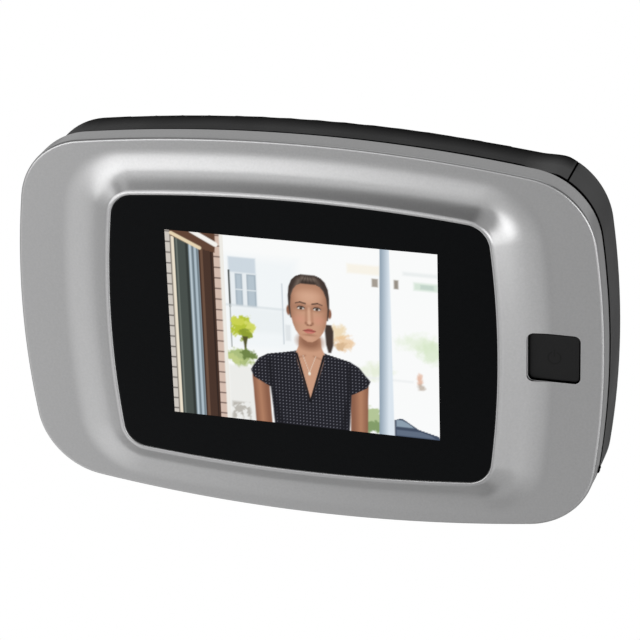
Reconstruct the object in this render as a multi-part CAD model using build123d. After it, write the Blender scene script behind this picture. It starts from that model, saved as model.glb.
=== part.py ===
from build123d import *
import math
import os

# Digital door viewer: a flat indoor monitor that hangs on a steel bracket, and a small camera in a
# threaded barrel through the door. Millimetres. +X is the viewer's right, +Z is up and +Y runs
# through the door. The origin is on the barrel's axis, in the plane of the door's inner face.

# Case of the monitor: a rectangle with bowed sides and round corners
case_height = 84.1
case_top_radius = 344.0
case_side_radius = 184.0
case_corner_radius = 15.8
case_depth = 16.4
shell_side_depth = 4.9
screen_rise = 3.0
door_gap = 0.8
wall = 1.5
parting_gap = 0.25
edge_round = 0.8

# Slope between the flat border of the shell and the rim round the window
ramp_reach_x = 9.0
ramp_reach_z = 7.8
rim_land = 0.8
ramp_height_shares = (0.03, 0.11, 0.24, 0.44, 0.72, 1.0)
ramp_reach_shares = (1.0, 0.8, 0.6, 0.4, 0.2, 0.0)
rim_round = 0.3

# Black printed window over the display
window_border_x = 6.7
window_border_z = 5.45
window_top_radius = 359.0
window_side_radius = 200.0
window_corner_radius = 5.1
window_thickness = 1.0
window_recess = 0.15
window_clearance = 0.08
tape_thickness = 0.15
tape_width = 2.2
ledge_thickness = 1.2

# Display module, a little above and right of the window's centre
screen_width = 57.6
screen_height = 41.7
screen_offset_x = 0.4
screen_offset_z = 1.0
lcd_border_x = 5.8
lcd_border_z = 4.15
lcd_thickness = 3.2
lcd_frame_sheet = 0.25
lcd_glass_thickness = 1.1
lcd_clearance = 0.3
lcd_play = 0.05
flex_width = 22.0
flex_thickness = 0.2
flex_fold_gap = 0.3
flex_landing = 3.0
flex_notch_clearance = 0.6

# Main circuit board, behind the display
board_overhang_x = 3.9
board_thickness = 1.0
board_gap = 0.3
board_screw_inset = 1.8
board_screw_head_radius = 1.5
board_screw_head_height = 0.9
board_screw_radius = 0.8
board_screw_length = 2.4
board_screw_tray_gap = 0.425
board_post_radius = 1.55
board_hole_clearance = 0.15
processor_side = 14.0
processor_height = 1.3
processor_x = -14.0
processor_z = 10.5
memory_width = 8.0
memory_length = 13.0
memory_height = 1.0
memory_x = -26.5
memory_z = 8.0
can_radius = 2.5
can_height = 4.2
can_x = -34.0
can_z = 19.0
can_pitch = 6.0
card_slot_width = 14.0
card_slot_length = 15.0
card_slot_height = 1.8
card_slot_x = -28.0
card_slot_z = -14.0

# Plug and socket of the camera's ribbon
socket_width = 10.0
socket_height = 4.2
socket_depth = 4.4
socket_wall = 0.5
socket_floor = 1.4
plug_clearance = 0.1
plug_length = 4.6
socket_z = -12.0
ribbon_width = 5.0
ribbon_thickness = 0.6
ribbon_bend_radius = 2.0
ribbon_turn_clearance = 1.6
ribbon_end_gap = 0.02

# View button and its switch
button_inset_x = 10.3
button_z = -0.1
button_width = 10.4
button_height = 9.9
button_corner_radius = 1.1
button_clearance = 0.18
button_recess = 0.3
button_thickness = 1.25
button_flange = 0.9
button_flange_thickness = 0.5
button_travel = 0.5
button_crown = 0.12
button_nub_radius = 1.1
button_nub_length = 0.55
button_pocket_wall = 1.0
button_pocket_clearance = 0.4
switch_side = 5.2
switch_height = 0.55
switch_bore_radius = 1.7
switch_dome_radius = 1.5
switch_dome_sheet = 0.1
button_board_width = 11.0
button_board_thickness = 0.5
button_post_gap = 0.2
button_post_radius = 1.0

# Cells, their tray and their contacts
cell_count = 4
cell_radius = 5.25
cell_length = 43.3
cell_nub_radius = 1.9
cell_nub_length = 1.2
cell_rim_round = 0.5
cell_pitch = 10.95
cell_back_gap = 0.1
cell_contact_gap = 0.1
tray_wall = 1.0
tray_clearance = 0.25
spring_zone = 3.1
spring_wire_radius = 0.3
spring_outer_radius = 3.4
spring_turns = 3
contact_plate_thickness = 0.4
contact_plate_width = 8.0
lead_radius = 0.55
lead_bend_radius = 1.2
lead_x = 5.0
lead_drop = 3.4
lead_hole_clearance = 0.15

# Back housing and its end cover
housing_inset = 1.0
housing_edge_round = 0.9
cover_proud = 0.05
housing_lip_height = 1.4
housing_lip_thickness = 0.9
housing_lip_clearance = 0.15
cover_seam_gap = 0.2
cover_gap = 0.12
cover_end_room = 3.05
swell_lead = 1.43
swell_length = 6.3
swell_seam_step = 1.3
cover_tongue_length = 4.2
cover_tongue_thickness = 1.0
cover_tongue_width = 6.6
cover_tongue_clearance = 0.15
grip_rib_radius = 0.3
grip_rib_drop = 3.435
grip_rib_pitch = 0.7
grip_rib_count = 2
grip_rib_length = 0.9

# Case screws and their bosses
case_screw_left_gap = 10.5
case_screw_left_inset_z = 15.7
case_screw_right_gap = 6.0
case_screw_right_inset_z = 10.2
case_screw_radius = 1.0
case_screw_length = 11.6
case_screw_head_radius = 1.9
case_screw_head_height = 1.3
case_screw_socket_depth = 0.7
cross_reach_share = 0.6
cross_width_share = 0.14
case_boss_radius = 2.7
case_screw_sink = 1.0
screw_clearance = 0.15

# Wall bracket: plate, arms and hooks
plate_thickness = 1.2
plate_right_x = 8.6
plate_half_height = 34.0
arm_right_x = 20.0
arm_height = 5.6
plate_corner_radius = 2.0
pad_thickness = 0.8
pad_width = 8.0
pad_height = 44.0
pad_inset = 1.5
recess_clearance = 0.4
hook_inset_x = 6.0
hook_inset_z = 3.0
hook_width = 6.0
hook_neck = 1.2
hook_lip = 2.8
hook_play = 0.2
hook_rest_gap = 0.1
lift_travel = 3.4
slot_side_clearance = 0.5
slot_spare = 1.2
bracket_screw_z = 23.0
bracket_screw_x = -5.4
bracket_screw_hole_radius = 2.0

# Pocket in the housing, round the clamp sleeve and the ribbon
pocket_left_x = -20.0
pocket_right_x = 9.4
pocket_top_z = 14.0
pocket_bottom_z = -18.0
pocket_depth = 7.0
pocket_wall = 0.9
pocket_corner_radius = 2.0
plug_window_clearance = 1.0

# Clamp sleeve, camera barrel and camera
door_thickness = 40.0
sleeve_outer_radius = 7.0
sleeve_length = 21.5
sleeve_shoulder = 0.5
sleeve_neck_depth = 0.3
sleeve_flange_radius = 9.0
sleeve_flange_thickness = 1.5
sleeve_notch_width = 2.0
sleeve_notch_depth = 1.3
barrel_outer_radius = 6.0
barrel_bore_radius = 5.2
thread_clearance = 0.05
barrel_length = 32.5
barrel_hole_clearance = 0.3
thread_groove_pitch = 1.0
thread_groove_depth = 0.25
thread_groove_width = 0.5
head_radius = 13.0
head_thickness = 4.2
head_edge_round = 1.6
gasket_thickness = 0.8
gasket_inset = 1.0
eye_radius = 4.6
eye_thickness = 1.2
eye_seat_depth = 1.6
eye_clearance = 0.05
holder_length = 13.0
holder_radius = 5.0
holder_wall = 1.0
holder_front_gap = 0.4
lens_clearance = 0.05
front_lens_radius = 3.9
front_lens_edge = 1.0
front_lens_crown = 1.2
rear_lens_radius = 3.2
rear_lens_edge = 1.2
rear_lens_crown = 0.7
lens_stop_width = 0.8
lens_stop_length = 2.0
filter_side = 5.0
filter_thickness = 0.5
sensor_side = 5.6
sensor_thickness = 1.0
sensor_gap = 0.15
sensor_board_radius = 4.9
sensor_board_thickness = 0.8
retainer_length = 2.0
retainer_bore_radius = 3.6

# One overrun serves every cut
overrun = 2.0

# Sizes that follow from the sizes of what they hold
lcd_width = screen_width + 2 * lcd_border_x
lcd_height = screen_height + 2 * lcd_border_z
window_width = lcd_width + 2 * window_border_x
window_height = lcd_height + 2 * window_border_z
board_width = lcd_width + 2 * board_overhang_x
plate_left_x = -arm_right_x
hook_x = arm_right_x - hook_inset_x
hook_z = plate_half_height - hook_inset_z
tray_left_x = pocket_right_x + pocket_wall + tray_clearance
cell_left_x = tray_left_x + tray_wall + spring_zone
cell_right_x = cell_left_x + cell_length
cover_contact_x = cell_right_x + cell_nub_length + cell_contact_gap
case_width = 2 * (cover_contact_x + contact_plate_thickness + cover_end_room)
button_x = case_width / 2 - button_inset_x
cell_stack_half = (cell_count - 1) * cell_pitch / 2 + cell_radius + cell_back_gap
tray_half = cell_stack_half + tray_wall
board_screw_z = tray_half + board_screw_tray_gap + board_screw_head_radius
board_height = 2 * (board_screw_z + board_screw_inset)
case_screw_left_x = -board_width / 2 - case_screw_left_gap
case_screw_left_z = case_height / 2 - case_screw_left_inset_z
case_screw_right_x = board_width / 2 + case_screw_right_gap
case_screw_right_z = case_height / 2 - case_screw_right_inset_z

# Levels along Y, from the door towards the viewer
back_y = -door_gap
edge_y = back_y - case_depth
split_y = edge_y + shell_side_depth
rim_y = edge_y - screen_rise
window_front_y = rim_y + window_recess
window_back_y = window_front_y + window_thickness
ledge_front_y = window_back_y + tape_thickness
ledge_back_y = ledge_front_y + ledge_thickness
lcd_front_y = window_back_y + lcd_play
lcd_back_y = lcd_front_y + lcd_thickness
board_front_y = lcd_back_y + board_gap
board_back_y = board_front_y + board_thickness
housing_front_y = split_y + parting_gap
housing_inner_y = back_y - wall
plate_back_y = -pad_thickness
plate_front_y = plate_back_y - plate_thickness
recess_floor_y = plate_front_y - recess_clearance
recess_inner_y = recess_floor_y - wall
pocket_floor_y = back_y - pocket_depth
pocket_inner_y = pocket_floor_y - wall
cell_back_y = housing_inner_y - cell_back_gap
cell_axis_y = cell_back_y - cell_radius
tray_inner_y = cell_axis_y - cell_radius - cell_back_gap
tray_front_y = tray_inner_y - tray_wall


# Outline of the case and of the window: two long arcs, two side arcs and four corner arcs
def corner_of(half_width, half_height, top_radius, side_radius, corner_radius):
    top_x, top_z = 0, half_height - top_radius
    side_x, side_z = half_width - side_radius, 0
    reach_top = top_radius - corner_radius
    reach_side = side_radius - corner_radius
    span = math.hypot(side_x - top_x, side_z - top_z)
    along = (reach_top ** 2 - reach_side ** 2 + span ** 2) / (2 * span)
    across = math.sqrt(reach_top ** 2 - along ** 2)
    ux, uz = (side_x - top_x) / span, (side_z - top_z) / span
    options = [(top_x + along * ux - s * across * uz, top_z + along * uz + s * across * ux) for s in (1, -1)]
    centre = max(options, key=lambda c: c[0] + c[1])
    on_top = (centre[0] / reach_top * top_radius, top_z + (centre[1] - top_z) / reach_top * top_radius)
    on_side = (side_x + (centre[0] - side_x) / reach_side * side_radius, centre[1] / reach_side * side_radius)
    return centre, on_top, on_side


# Places along the housing's top edge, from the point where the case's round corner starts
case_corner, case_corner_top, case_corner_side = corner_of(
    case_width / 2, case_height / 2, case_top_radius, case_side_radius, case_corner_radius
)
swell_start_x = case_corner_top[0] - swell_lead
swell_end_x = swell_start_x + swell_length
cover_seam_x = swell_end_x + swell_seam_step
grip_rib_z = -case_corner[1] - grip_rib_drop


def bowed_wire(half_width, half_height, top_radius, side_radius, corner_radius, y):
    centre, top, side = corner_of(half_width, half_height, top_radius, side_radius, corner_radius)
    lean = math.atan2((top[1] + side[1]) / 2 - centre[1], (top[0] + side[0]) / 2 - centre[0])
    mid = (centre[0] + corner_radius * math.cos(lean), centre[1] + corner_radius * math.sin(lean))

    def arc(a, b, c):
        return Edge.make_three_point_arc(*[Vector(p[0], y, p[1]) for p in (a, b, c)])

    def turned(p, sx, sz):
        return (p[0] * sx, p[1] * sz)

    edges = [
        arc(turned(top, -1, 1), (0, half_height), top),
        arc(top, mid, side),
        arc(side, (half_width, 0), turned(side, 1, -1)),
        arc(turned(side, 1, -1), turned(mid, 1, -1), turned(top, 1, -1)),
        arc(turned(top, 1, -1), (0, -half_height), turned(top, -1, -1)),
        arc(turned(top, -1, -1), turned(mid, -1, -1), turned(side, -1, -1)),
        arc(turned(side, -1, -1), (-half_width, 0), turned(side, -1, 1)),
        arc(turned(side, -1, 1), turned(mid, -1, 1), turned(top, -1, 1)),
    ]
    return Wire(edges)


def case_wire(inset, y):
    return bowed_wire(
        case_width / 2 - inset,
        case_height / 2 - inset,
        case_top_radius - inset,
        case_side_radius - inset,
        case_corner_radius - inset,
        y,
    )


# share 0 is the window's own outline grown by grow, share 1 reaches the foot of the ramp
def window_wire(grow, share, y):
    reach_x = grow + share * ramp_reach_x
    reach_z = grow + share * ramp_reach_z
    return bowed_wire(
        window_width / 2 + reach_x,
        window_height / 2 + reach_z,
        window_top_radius + reach_z,
        window_side_radius + reach_x,
        window_corner_radius + reach_z,
        y,
    )


def slab(wire, depth):
    return extrude(Face(wire), amount=depth, dir=(0, 1, 0))


def block(x0, x1, y0, y1, z0, z1):
    middle = Location(((x0 + x1) / 2, (y0 + y1) / 2, (z0 + z1) / 2))
    return middle * Box(x1 - x0, y1 - y0, z1 - z0)


def rod_y(x, z, radius, y0, y1):
    return Location((x, (y0 + y1) / 2, z), (90, 0, 0)) * Cylinder(radius, y1 - y0)


def rod_x(y, z, radius, x0, x1):
    return Location(((x0 + x1) / 2, y, z), (0, 90, 0)) * Cylinder(radius, x1 - x0)


def rounded_block(x0, x1, y0, y1, z0, z1, radius):
    middle = Location(((x0 + x1) / 2, (z0 + z1) / 2))
    outline = Plane.XZ.offset(-y0) * middle * RectangleRounded(x1 - x0, z1 - z0, radius)
    return extrude(outline, amount=y1 - y0, dir=(0, 1, 0))


def turned_y(points):
    outline = make_face(Polyline(*[(r, y, 0) for r, y in points], close=True))
    return revolve(outline, Axis.Y, 360)


def union(shapes):
    total = shapes[0]
    for shape in shapes[1:]:
        total = total + shape
    return total


# Front shell: painted plastic with a flat border, a concave ramp up to the window and a skirt behind
def case_screw_places():
    places = [(case_screw_left_x, case_screw_left_z), (case_screw_right_x, case_screw_right_z)]
    return [(x, s * z) for x, z in places for s in (1, -1)]


def button_hole(grow, y0, y1):
    half_w = button_width / 2 + grow
    half_h = button_height / 2 + grow
    return rounded_block(
        button_x - half_w,
        button_x + half_w,
        y0,
        y1,
        button_z - half_h,
        button_z + half_h,
        button_corner_radius + grow,
    )


def front_shell():
    body = slab(case_wire(0, edge_y), shell_side_depth)
    body = fillet(body.faces().sort_by(Axis.Y)[0].edges(), edge_round)
    levels = []
    for reach, height in zip(ramp_reach_shares, ramp_height_shares):
        levels.append(window_wire(rim_land, reach, edge_y - screen_rise * height))
    foot = window_wire(rim_land, ramp_reach_shares[0], edge_y + wall)
    skirt = Solid.make_loft([foot, levels[0]], ruled=True)
    ramp = Solid.make_loft(levels)
    body = body + skirt + ramp
    rim = body.faces().sort_by(Axis.Y)[0]
    body = fillet(rim.edges(), rim_round)
    body -= slab(window_wire(window_clearance, 0, rim_y - overrun), ledge_front_y - rim_y + overrun)
    body -= slab(case_wire(wall, edge_y + wall), shell_side_depth)
    body -= slab(window_wire(-wall, 0, ledge_back_y), split_y - ledge_back_y)
    half_w = lcd_width / 2 + lcd_clearance
    half_h = lcd_height / 2 + lcd_clearance
    body -= block(
        screen_offset_x - half_w,
        screen_offset_x + half_w,
        ledge_front_y - overrun / 2,
        ledge_back_y + overrun,
        screen_offset_z - half_h,
        screen_offset_z + half_h,
    )
    body -= button_hole(button_clearance, edge_y - overrun, edge_y + wall + overrun)
    pocket = button_flange + button_pocket_clearance
    body -= button_hole(pocket, edge_y + button_pocket_wall, edge_y + wall + overrun)
    for x, z in case_screw_places():
        boss = rod_y(x, z, case_boss_radius, edge_y + wall / 2, split_y)
        hole = rod_y(x, z, case_screw_radius + screw_clearance, edge_y + wall, split_y + overrun)
        body = body + boss - hole
    for x in (-1, 1):
        for z in (-1, 1):
            post_x = button_x + x * (button_board_width / 2 - button_post_radius)
            post_z = button_z + z * (button_board_half() - button_post_radius)
            body = body + rod_y(post_x, post_z, button_post_radius, edge_y + wall / 2, button_board_front_y())
    for x, z in board_screw_places():
        bore = rod_y(x, z, board_screw_radius, ledge_back_y, board_front_y + overrun)
        body = body + rod_y(x, z, board_post_radius, ledge_back_y - ledge_thickness / 2, board_front_y) - bore
    return body


def button_board_front_y():
    return edge_y + button_recess + button_thickness + button_nub_length + button_travel


def button_board_half():
    return button_height / 2 + button_flange + button_post_gap + 2 * button_post_radius


# Display window, its tape and the display module
def display_window():
    return slab(window_wire(0, 0, window_front_y), window_thickness)


def window_tape():
    outer = slab(window_wire(-window_clearance, 0, window_back_y), tape_thickness)
    return outer - slab(window_wire(-tape_width, 0, window_back_y), tape_thickness)


def screen_block(width, height, y0, y1):
    return block(
        screen_offset_x - width / 2,
        screen_offset_x + width / 2,
        y0,
        y1,
        screen_offset_z - height / 2,
        screen_offset_z + height / 2,
    )


def lcd_frame():
    can = screen_block(lcd_width, lcd_height, lcd_front_y, lcd_back_y)
    hollow_w = lcd_width - 2 * lcd_frame_sheet
    hollow_h = lcd_height - 2 * lcd_frame_sheet
    can -= screen_block(hollow_w, hollow_h, lcd_front_y + lcd_frame_sheet, lcd_back_y + overrun)
    return can - screen_block(screen_width, screen_height, lcd_front_y - overrun, lcd_back_y)


def lcd_inner_size():
    spare = 2 * (lcd_frame_sheet + lcd_play)
    return lcd_width - spare, lcd_height - spare


def lcd_panel():
    width, height = lcd_inner_size()
    front = lcd_front_y + lcd_frame_sheet
    return screen_block(width, height, front, front + lcd_glass_thickness)


def backlight():
    width, height = lcd_inner_size()
    front = lcd_front_y + lcd_frame_sheet + lcd_glass_thickness
    return screen_block(width, height, front, lcd_back_y)


def lcd_flex():
    bottom = screen_offset_z - lcd_height / 2
    outer = bottom - flex_fold_gap - flex_thickness
    x0 = screen_offset_x - flex_width / 2
    x1 = screen_offset_x + flex_width / 2
    front = lcd_back_y - lcd_glass_thickness
    strip = block(x0, x1, front, board_back_y + flex_thickness, outer, outer + flex_thickness)
    top = block(x0, x1, front, front + flex_thickness, outer, bottom)
    landing_end = flex_notch_top() + flex_landing
    landing = block(x0, x1, board_back_y, board_back_y + flex_thickness, outer, landing_end)
    return strip + top + landing


def flex_notch_top():
    return screen_offset_z - lcd_height / 2 + flex_notch_clearance


# Main board with its components on the door side, and a notch that the display's flex passes through
def board_screw_places():
    dx = board_width / 2 - board_screw_inset
    dz = board_screw_z
    return [(x * dx, z * dz) for x in (-1, 1) for z in (-1, 1)]


def main_board():
    half_w = board_width / 2
    half_h = board_height / 2
    board = block(-half_w, half_w, board_front_y, board_back_y, -half_h, half_h)
    hole = board_screw_radius + board_hole_clearance
    for x, z in board_screw_places():
        board -= rod_y(x, z, hole, board_front_y - overrun, board_back_y + overrun)
    half = flex_width / 2 + flex_notch_clearance
    return board - block(
        screen_offset_x - half,
        screen_offset_x + half,
        board_front_y - overrun,
        board_back_y + overrun,
        -board_height / 2 - overrun,
        flex_notch_top(),
    )


def board_chips():
    chips = []
    half = processor_side / 2
    chips.append(
        block(
            processor_x - half,
            processor_x + half,
            board_back_y,
            board_back_y + processor_height,
            processor_z - half,
            processor_z + half,
        )
    )
    chips.append(
        block(
            memory_x - memory_width / 2,
            memory_x + memory_width / 2,
            board_back_y,
            board_back_y + memory_height,
            memory_z - memory_length / 2,
            memory_z + memory_length / 2,
        )
    )
    return Compound(children=chips)


def board_capacitors():
    top = board_back_y + can_height
    cans = [rod_y(can_x, can_z - step * can_pitch, can_radius, board_back_y, top) for step in (0, 1)]
    return Compound(children=cans)


def card_slot():
    half_w = card_slot_width / 2
    half_l = card_slot_length / 2
    can = block(
        card_slot_x - half_w,
        card_slot_x + half_w,
        board_back_y,
        board_back_y + card_slot_height,
        card_slot_z - half_l,
        card_slot_z + half_l,
    )
    mouth = block(
        card_slot_x - half_w + socket_wall,
        card_slot_x + half_w - socket_wall,
        board_back_y + socket_wall,
        board_back_y + card_slot_height - socket_wall,
        card_slot_z - half_l - overrun,
        card_slot_z + half_l - socket_wall,
    )
    return can - mouth


def board_screws():
    screws = []
    for x, z in board_screw_places():
        head = rod_y(x, z, board_screw_head_radius, board_back_y, board_back_y + board_screw_head_height)
        shank = rod_y(x, z, board_screw_radius, board_back_y - board_screw_length, board_back_y)
        screws.append(head + shank)
    return Compound(children=screws)


def camera_socket():
    body = block(
        -socket_width / 2,
        socket_width / 2,
        board_back_y,
        board_back_y + socket_depth,
        socket_z - socket_height / 2,
        socket_z + socket_height / 2,
    )
    mouth = block(
        -socket_width / 2 + socket_wall,
        socket_width / 2 - socket_wall,
        board_back_y + socket_floor,
        board_back_y + socket_depth + overrun,
        socket_z - socket_height / 2 + socket_wall,
        socket_z + socket_height / 2 - socket_wall,
    )
    return body - mouth


def plug_start_y():
    return board_back_y + socket_floor + plug_clearance


def camera_plug():
    half_w = socket_width / 2 - socket_wall - plug_clearance
    half_h = socket_height / 2 - socket_wall - plug_clearance
    start = plug_start_y()
    return block(-half_w, half_w, start, start + plug_length, socket_z - half_h, socket_z + half_h)


# View button, its snap dome, switch and small board
def view_button():
    front = edge_y + button_recess
    plate_end = front + button_thickness
    cap = button_hole(0, front, plate_end)
    crown = cap.faces().sort_by(Axis.Y)[0]
    cap = fillet(crown.edges(), button_crown)
    flange = button_hole(button_flange, plate_end - button_flange_thickness, plate_end)
    nub = rod_y(button_x, button_z, button_nub_radius, plate_end, plate_end + button_nub_length)
    return cap + flange + nub


def switch_levels():
    board_front = button_board_front_y()
    return board_front - switch_height, board_front


def tact_switch():
    front, back = switch_levels()
    half = switch_side / 2
    body = block(button_x - half, button_x + half, front, back, button_z - half, button_z + half)
    return body - rod_y(button_x, button_z, switch_bore_radius, front - overrun, back + overrun)


def switch_dome():
    front, back = switch_levels()
    top = front + switch_dome_sheet
    rim = (switch_dome_radius, back)
    shoulder = (switch_dome_radius, back - switch_dome_sheet)
    section = [(0, top), shoulder, rim, (0, top + switch_dome_sheet)]
    return Location((button_x, 0, button_z)) * turned_y(section)


def button_board():
    front = button_board_front_y()
    half_w = button_board_width / 2
    half_h = button_board_half()
    return block(
        button_x - half_w,
        button_x + half_w,
        front,
        front + button_board_thickness,
        button_z - half_h,
        button_z + half_h,
    )


# Cells, lying side by side along X, and the tray they slide into
def cell_places():
    first = -(cell_count - 1) / 2
    return [(first + i) * cell_pitch for i in range(cell_count)]


def cell(index):
    z = cell_places()[index]
    forward = index % 2 == 0
    can = rod_x(cell_axis_y, z, cell_radius, cell_left_x, cell_right_x)
    can = fillet(can.edges(), cell_rim_round)
    if forward:
        nub = rod_x(cell_axis_y, z, cell_nub_radius, cell_right_x, cell_right_x + cell_nub_length)
        return can + nub
    shift = Location((cell_nub_length, 0, 0))
    nub = rod_x(cell_axis_y, z, cell_nub_radius, cell_left_x, cell_left_x + cell_nub_length)
    return shift * can + nub


def battery_tray():
    right = cover_seam_x - cover_tongue_length - cover_seam_gap
    tray = block(tray_left_x, right, tray_front_y, housing_inner_y, -tray_half, tray_half)
    tray -= block(
        tray_left_x + tray_wall,
        right + overrun,
        tray_inner_y,
        housing_inner_y + overrun,
        -cell_stack_half,
        cell_stack_half,
    )
    tray = tray + block(right, cell_right_x, tray_front_y, tray_inner_y, -tray_half, tray_half)
    for y, z in lead_places():
        hole = lead_radius + lead_hole_clearance
        tray -= rod_x(y, z, hole, tray_left_x - overrun, tray_left_x + tray_wall + overrun / 2)
    return tray


def lead_places():
    return [(cell_axis_y - lead_drop, cell_places()[i]) for i in (0, -1)]


def spring_contacts():
    contacts = []
    start = tray_left_x + tray_wall
    plate_end = start + contact_plate_thickness
    for index, z in enumerate(cell_places()):
        reach = contact_plate_width / 2
        plate = block(start, plate_end, cell_axis_y - reach, cell_axis_y + reach, z - reach, z + reach)
        flat_cell_end = cell_left_x + (cell_nub_length if index % 2 else 0)
        nub_end = cell_left_x
        if index % 2 == 0:
            length = flat_cell_end - cell_contact_gap - plate_end - spring_wire_radius
            mean = spring_outer_radius - spring_wire_radius
            path = Helix(length / spring_turns, length, mean)
            ring = Plane(origin=path @ 0, z_dir=path % 0) * Circle(spring_wire_radius)
            coil = sweep(ring, path=path, is_frenet=True)
            coil = Location((plate_end, cell_axis_y, z), (0, 90, 0)) * coil
            contacts.append(plate + coil)
        else:
            bump = rod_x(cell_axis_y, z, cell_nub_radius, start, nub_end - cell_contact_gap)
            contacts.append(plate + bump)
    return Compound(children=contacts)


def power_leads():
    leads = []
    for y, z in lead_places():
        route = FilletPolyline(
            (tray_left_x + tray_wall, y, z),
            (lead_x, y, z),
            (lead_x, board_back_y, z),
            radius=lead_bend_radius,
        )
        ring = Plane(origin=route @ 0, z_dir=route % 0) * Circle(lead_radius)
        leads.append(sweep(ring, path=route))
    return Compound(children=leads)


# Back housing: dark textured plastic, inset at the top and bottom, swelling out to the end cover
def swell_edge(side, y):
    inner_top = case_height / 2 - housing_inset
    radius = case_top_radius - housing_inset
    start = (swell_start_x, inner_top - radius + math.sqrt(radius ** 2 - swell_start_x ** 2))
    start_slope = (math.sqrt(radius ** 2 - swell_start_x ** 2), -swell_start_x)
    past = swell_end_x - case_corner[0]
    rise = math.sqrt((case_corner_radius + cover_proud) ** 2 - past ** 2)
    end = (swell_end_x, case_corner[1] + rise)
    end_slope = (rise, -past)
    points = [Vector(p[0], y, p[1] * side) for p in (start, end)]
    slopes = [Vector(s[0], 0, s[1] * side).normalized() for s in (start_slope, end_slope)]
    return Edge.make_spline(points, tangents=slopes)


def housing_outer():
    depth = back_y - housing_front_y
    main = slab(case_wire(housing_inset, housing_front_y), depth)
    full = slab(case_wire(-cover_proud, housing_front_y), depth)
    swell = full & block(swell_end_x, cover_seam_x, housing_front_y, back_y, -case_height, case_height)
    for side in (1, -1):
        curve = swell_edge(side, housing_front_y)
        feet = [Vector(x, housing_front_y, 0) for x in (swell_end_x, swell_start_x)]
        base = [curve @ 1] + feet + [curve @ 0]
        rim = Wire([curve] + [Edge.make_line(base[i], base[i + 1]) for i in range(len(base) - 1)])
        swell = swell + slab(rim, depth)
    body = main & block(-case_width, cover_seam_x, housing_front_y, back_y, -case_height, case_height)
    return body + swell


def recess_blocks(grow, y0, y1):
    drop = lift_travel + recess_clearance
    low = -plate_half_height - drop - grow
    high = plate_half_height + recess_clearance + grow
    left = plate_left_x - recess_clearance - grow
    right = plate_right_x + recess_clearance + grow
    arm_right = arm_right_x + recess_clearance + grow
    arm_low = plate_half_height - arm_height - drop - grow
    arm_high = -plate_half_height + arm_height + recess_clearance + grow
    return union(
        [
            block(left, right, y0, y1, low, high),
            block(right - overrun, arm_right, y0, y1, arm_low, high),
            block(right - overrun, arm_right, y0, y1, low, arm_high),
        ]
    )


def hook_places():
    return [(x, z) for x in (-hook_x, hook_x) for z in (hook_z, -hook_z)]


def back_housing():
    outer = housing_outer()
    back_face = outer.faces().sort_by(Axis.Y)[-1]
    rim_edges = [e for e in back_face.edges() if e.center().X < cover_seam_x - cover_seam_gap]
    outer = fillet(rim_edges, housing_edge_round)
    hollow_depth = housing_inner_y - housing_front_y
    body = outer - slab(case_wire(housing_inset + wall, housing_front_y), hollow_depth)
    lip_out = wall + housing_lip_clearance
    lip_in = lip_out + housing_lip_thickness
    lip_start = split_y - housing_lip_height
    lip_depth = housing_front_y + housing_lip_height - lip_start
    lip = slab(case_wire(lip_out, lip_start), lip_depth) - slab(case_wire(lip_in, lip_start), lip_depth)
    lip = lip & block(-case_width, swell_start_x, lip_start, lip_start + lip_depth, -case_height, case_height)
    body = body + lip
    body = body + recess_blocks(wall, recess_inner_y, housing_inner_y)
    body -= recess_blocks(0, recess_floor_y, overrun)
    pocket_shell = rounded_block(
        pocket_left_x - pocket_wall,
        pocket_right_x + pocket_wall,
        pocket_inner_y,
        recess_inner_y,
        pocket_bottom_z - pocket_wall,
        pocket_top_z + pocket_wall,
        pocket_corner_radius + pocket_wall,
    )
    body = body + pocket_shell
    body -= rounded_block(
        pocket_left_x,
        pocket_right_x,
        pocket_floor_y,
        overrun,
        pocket_bottom_z,
        pocket_top_z,
        pocket_corner_radius,
    )
    window_w = socket_width / 2 + plug_window_clearance
    window_h = socket_height / 2 + plug_window_clearance
    body -= block(
        -window_w,
        window_w,
        pocket_inner_y - overrun,
        pocket_floor_y + overrun,
        socket_z - window_h,
        socket_z + window_h,
    )
    slot_w = hook_width / 2 + slot_side_clearance
    slot_height = hook_lip + hook_neck + slot_spare
    for x, z in hook_places():
        top = z + hook_neck / 2 + hook_rest_gap
        body -= block(x - slot_w, x + slot_w, recess_inner_y - overrun, overrun, top - slot_height, top)
    for x, z in case_screw_places():
        column = rod_y(x, z, case_boss_radius, split_y + parting_gap, housing_inner_y + wall / 2)
        sink = rod_y(x, z, case_screw_head_radius + screw_clearance, case_head_y(), overrun)
        hole = rod_y(x, z, case_screw_radius + screw_clearance, split_y - overrun, overrun)
        body = body + column - sink - hole
    tongue_cut = cover_tongue_width + 2 * cover_tongue_clearance
    for side in (1, -1):
        z0 = side * cover_tongue_z()
        body -= block(
            cover_seam_x - cover_tongue_length - cover_tongue_clearance,
            cover_seam_x + overrun,
            cell_axis_y - tongue_cut / 2,
            cell_axis_y + tongue_cut / 2,
            min(z0, z0 - side * (cover_tongue_thickness + 2 * cover_tongue_clearance)),
            max(z0, z0 - side * (cover_tongue_thickness + 2 * cover_tongue_clearance)),
        )
    return body


def case_head_y():
    return back_y - case_screw_sink - case_screw_head_height


def case_screws():
    screws = []
    for x, z in case_screw_places():
        seat = case_head_y()
        head = rod_y(x, z, case_screw_head_radius, seat, seat + case_screw_head_height)
        head -= cross_recess(x, z, seat + case_screw_head_height)
        shank = rod_y(x, z, case_screw_radius, seat - case_screw_length, seat)
        screws.append(head + shank)
    return Compound(children=screws)


def cross_recess(x, z, face_y):
    long = case_screw_head_radius * cross_reach_share
    narrow = case_screw_head_radius * cross_width_share
    depth = face_y - case_screw_socket_depth
    level = block(x - long, x + long, depth, face_y + overrun, z - narrow, z + narrow)
    upright = block(x - narrow, x + narrow, depth, face_y + overrun, z - long, z + long)
    return level + upright


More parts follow.
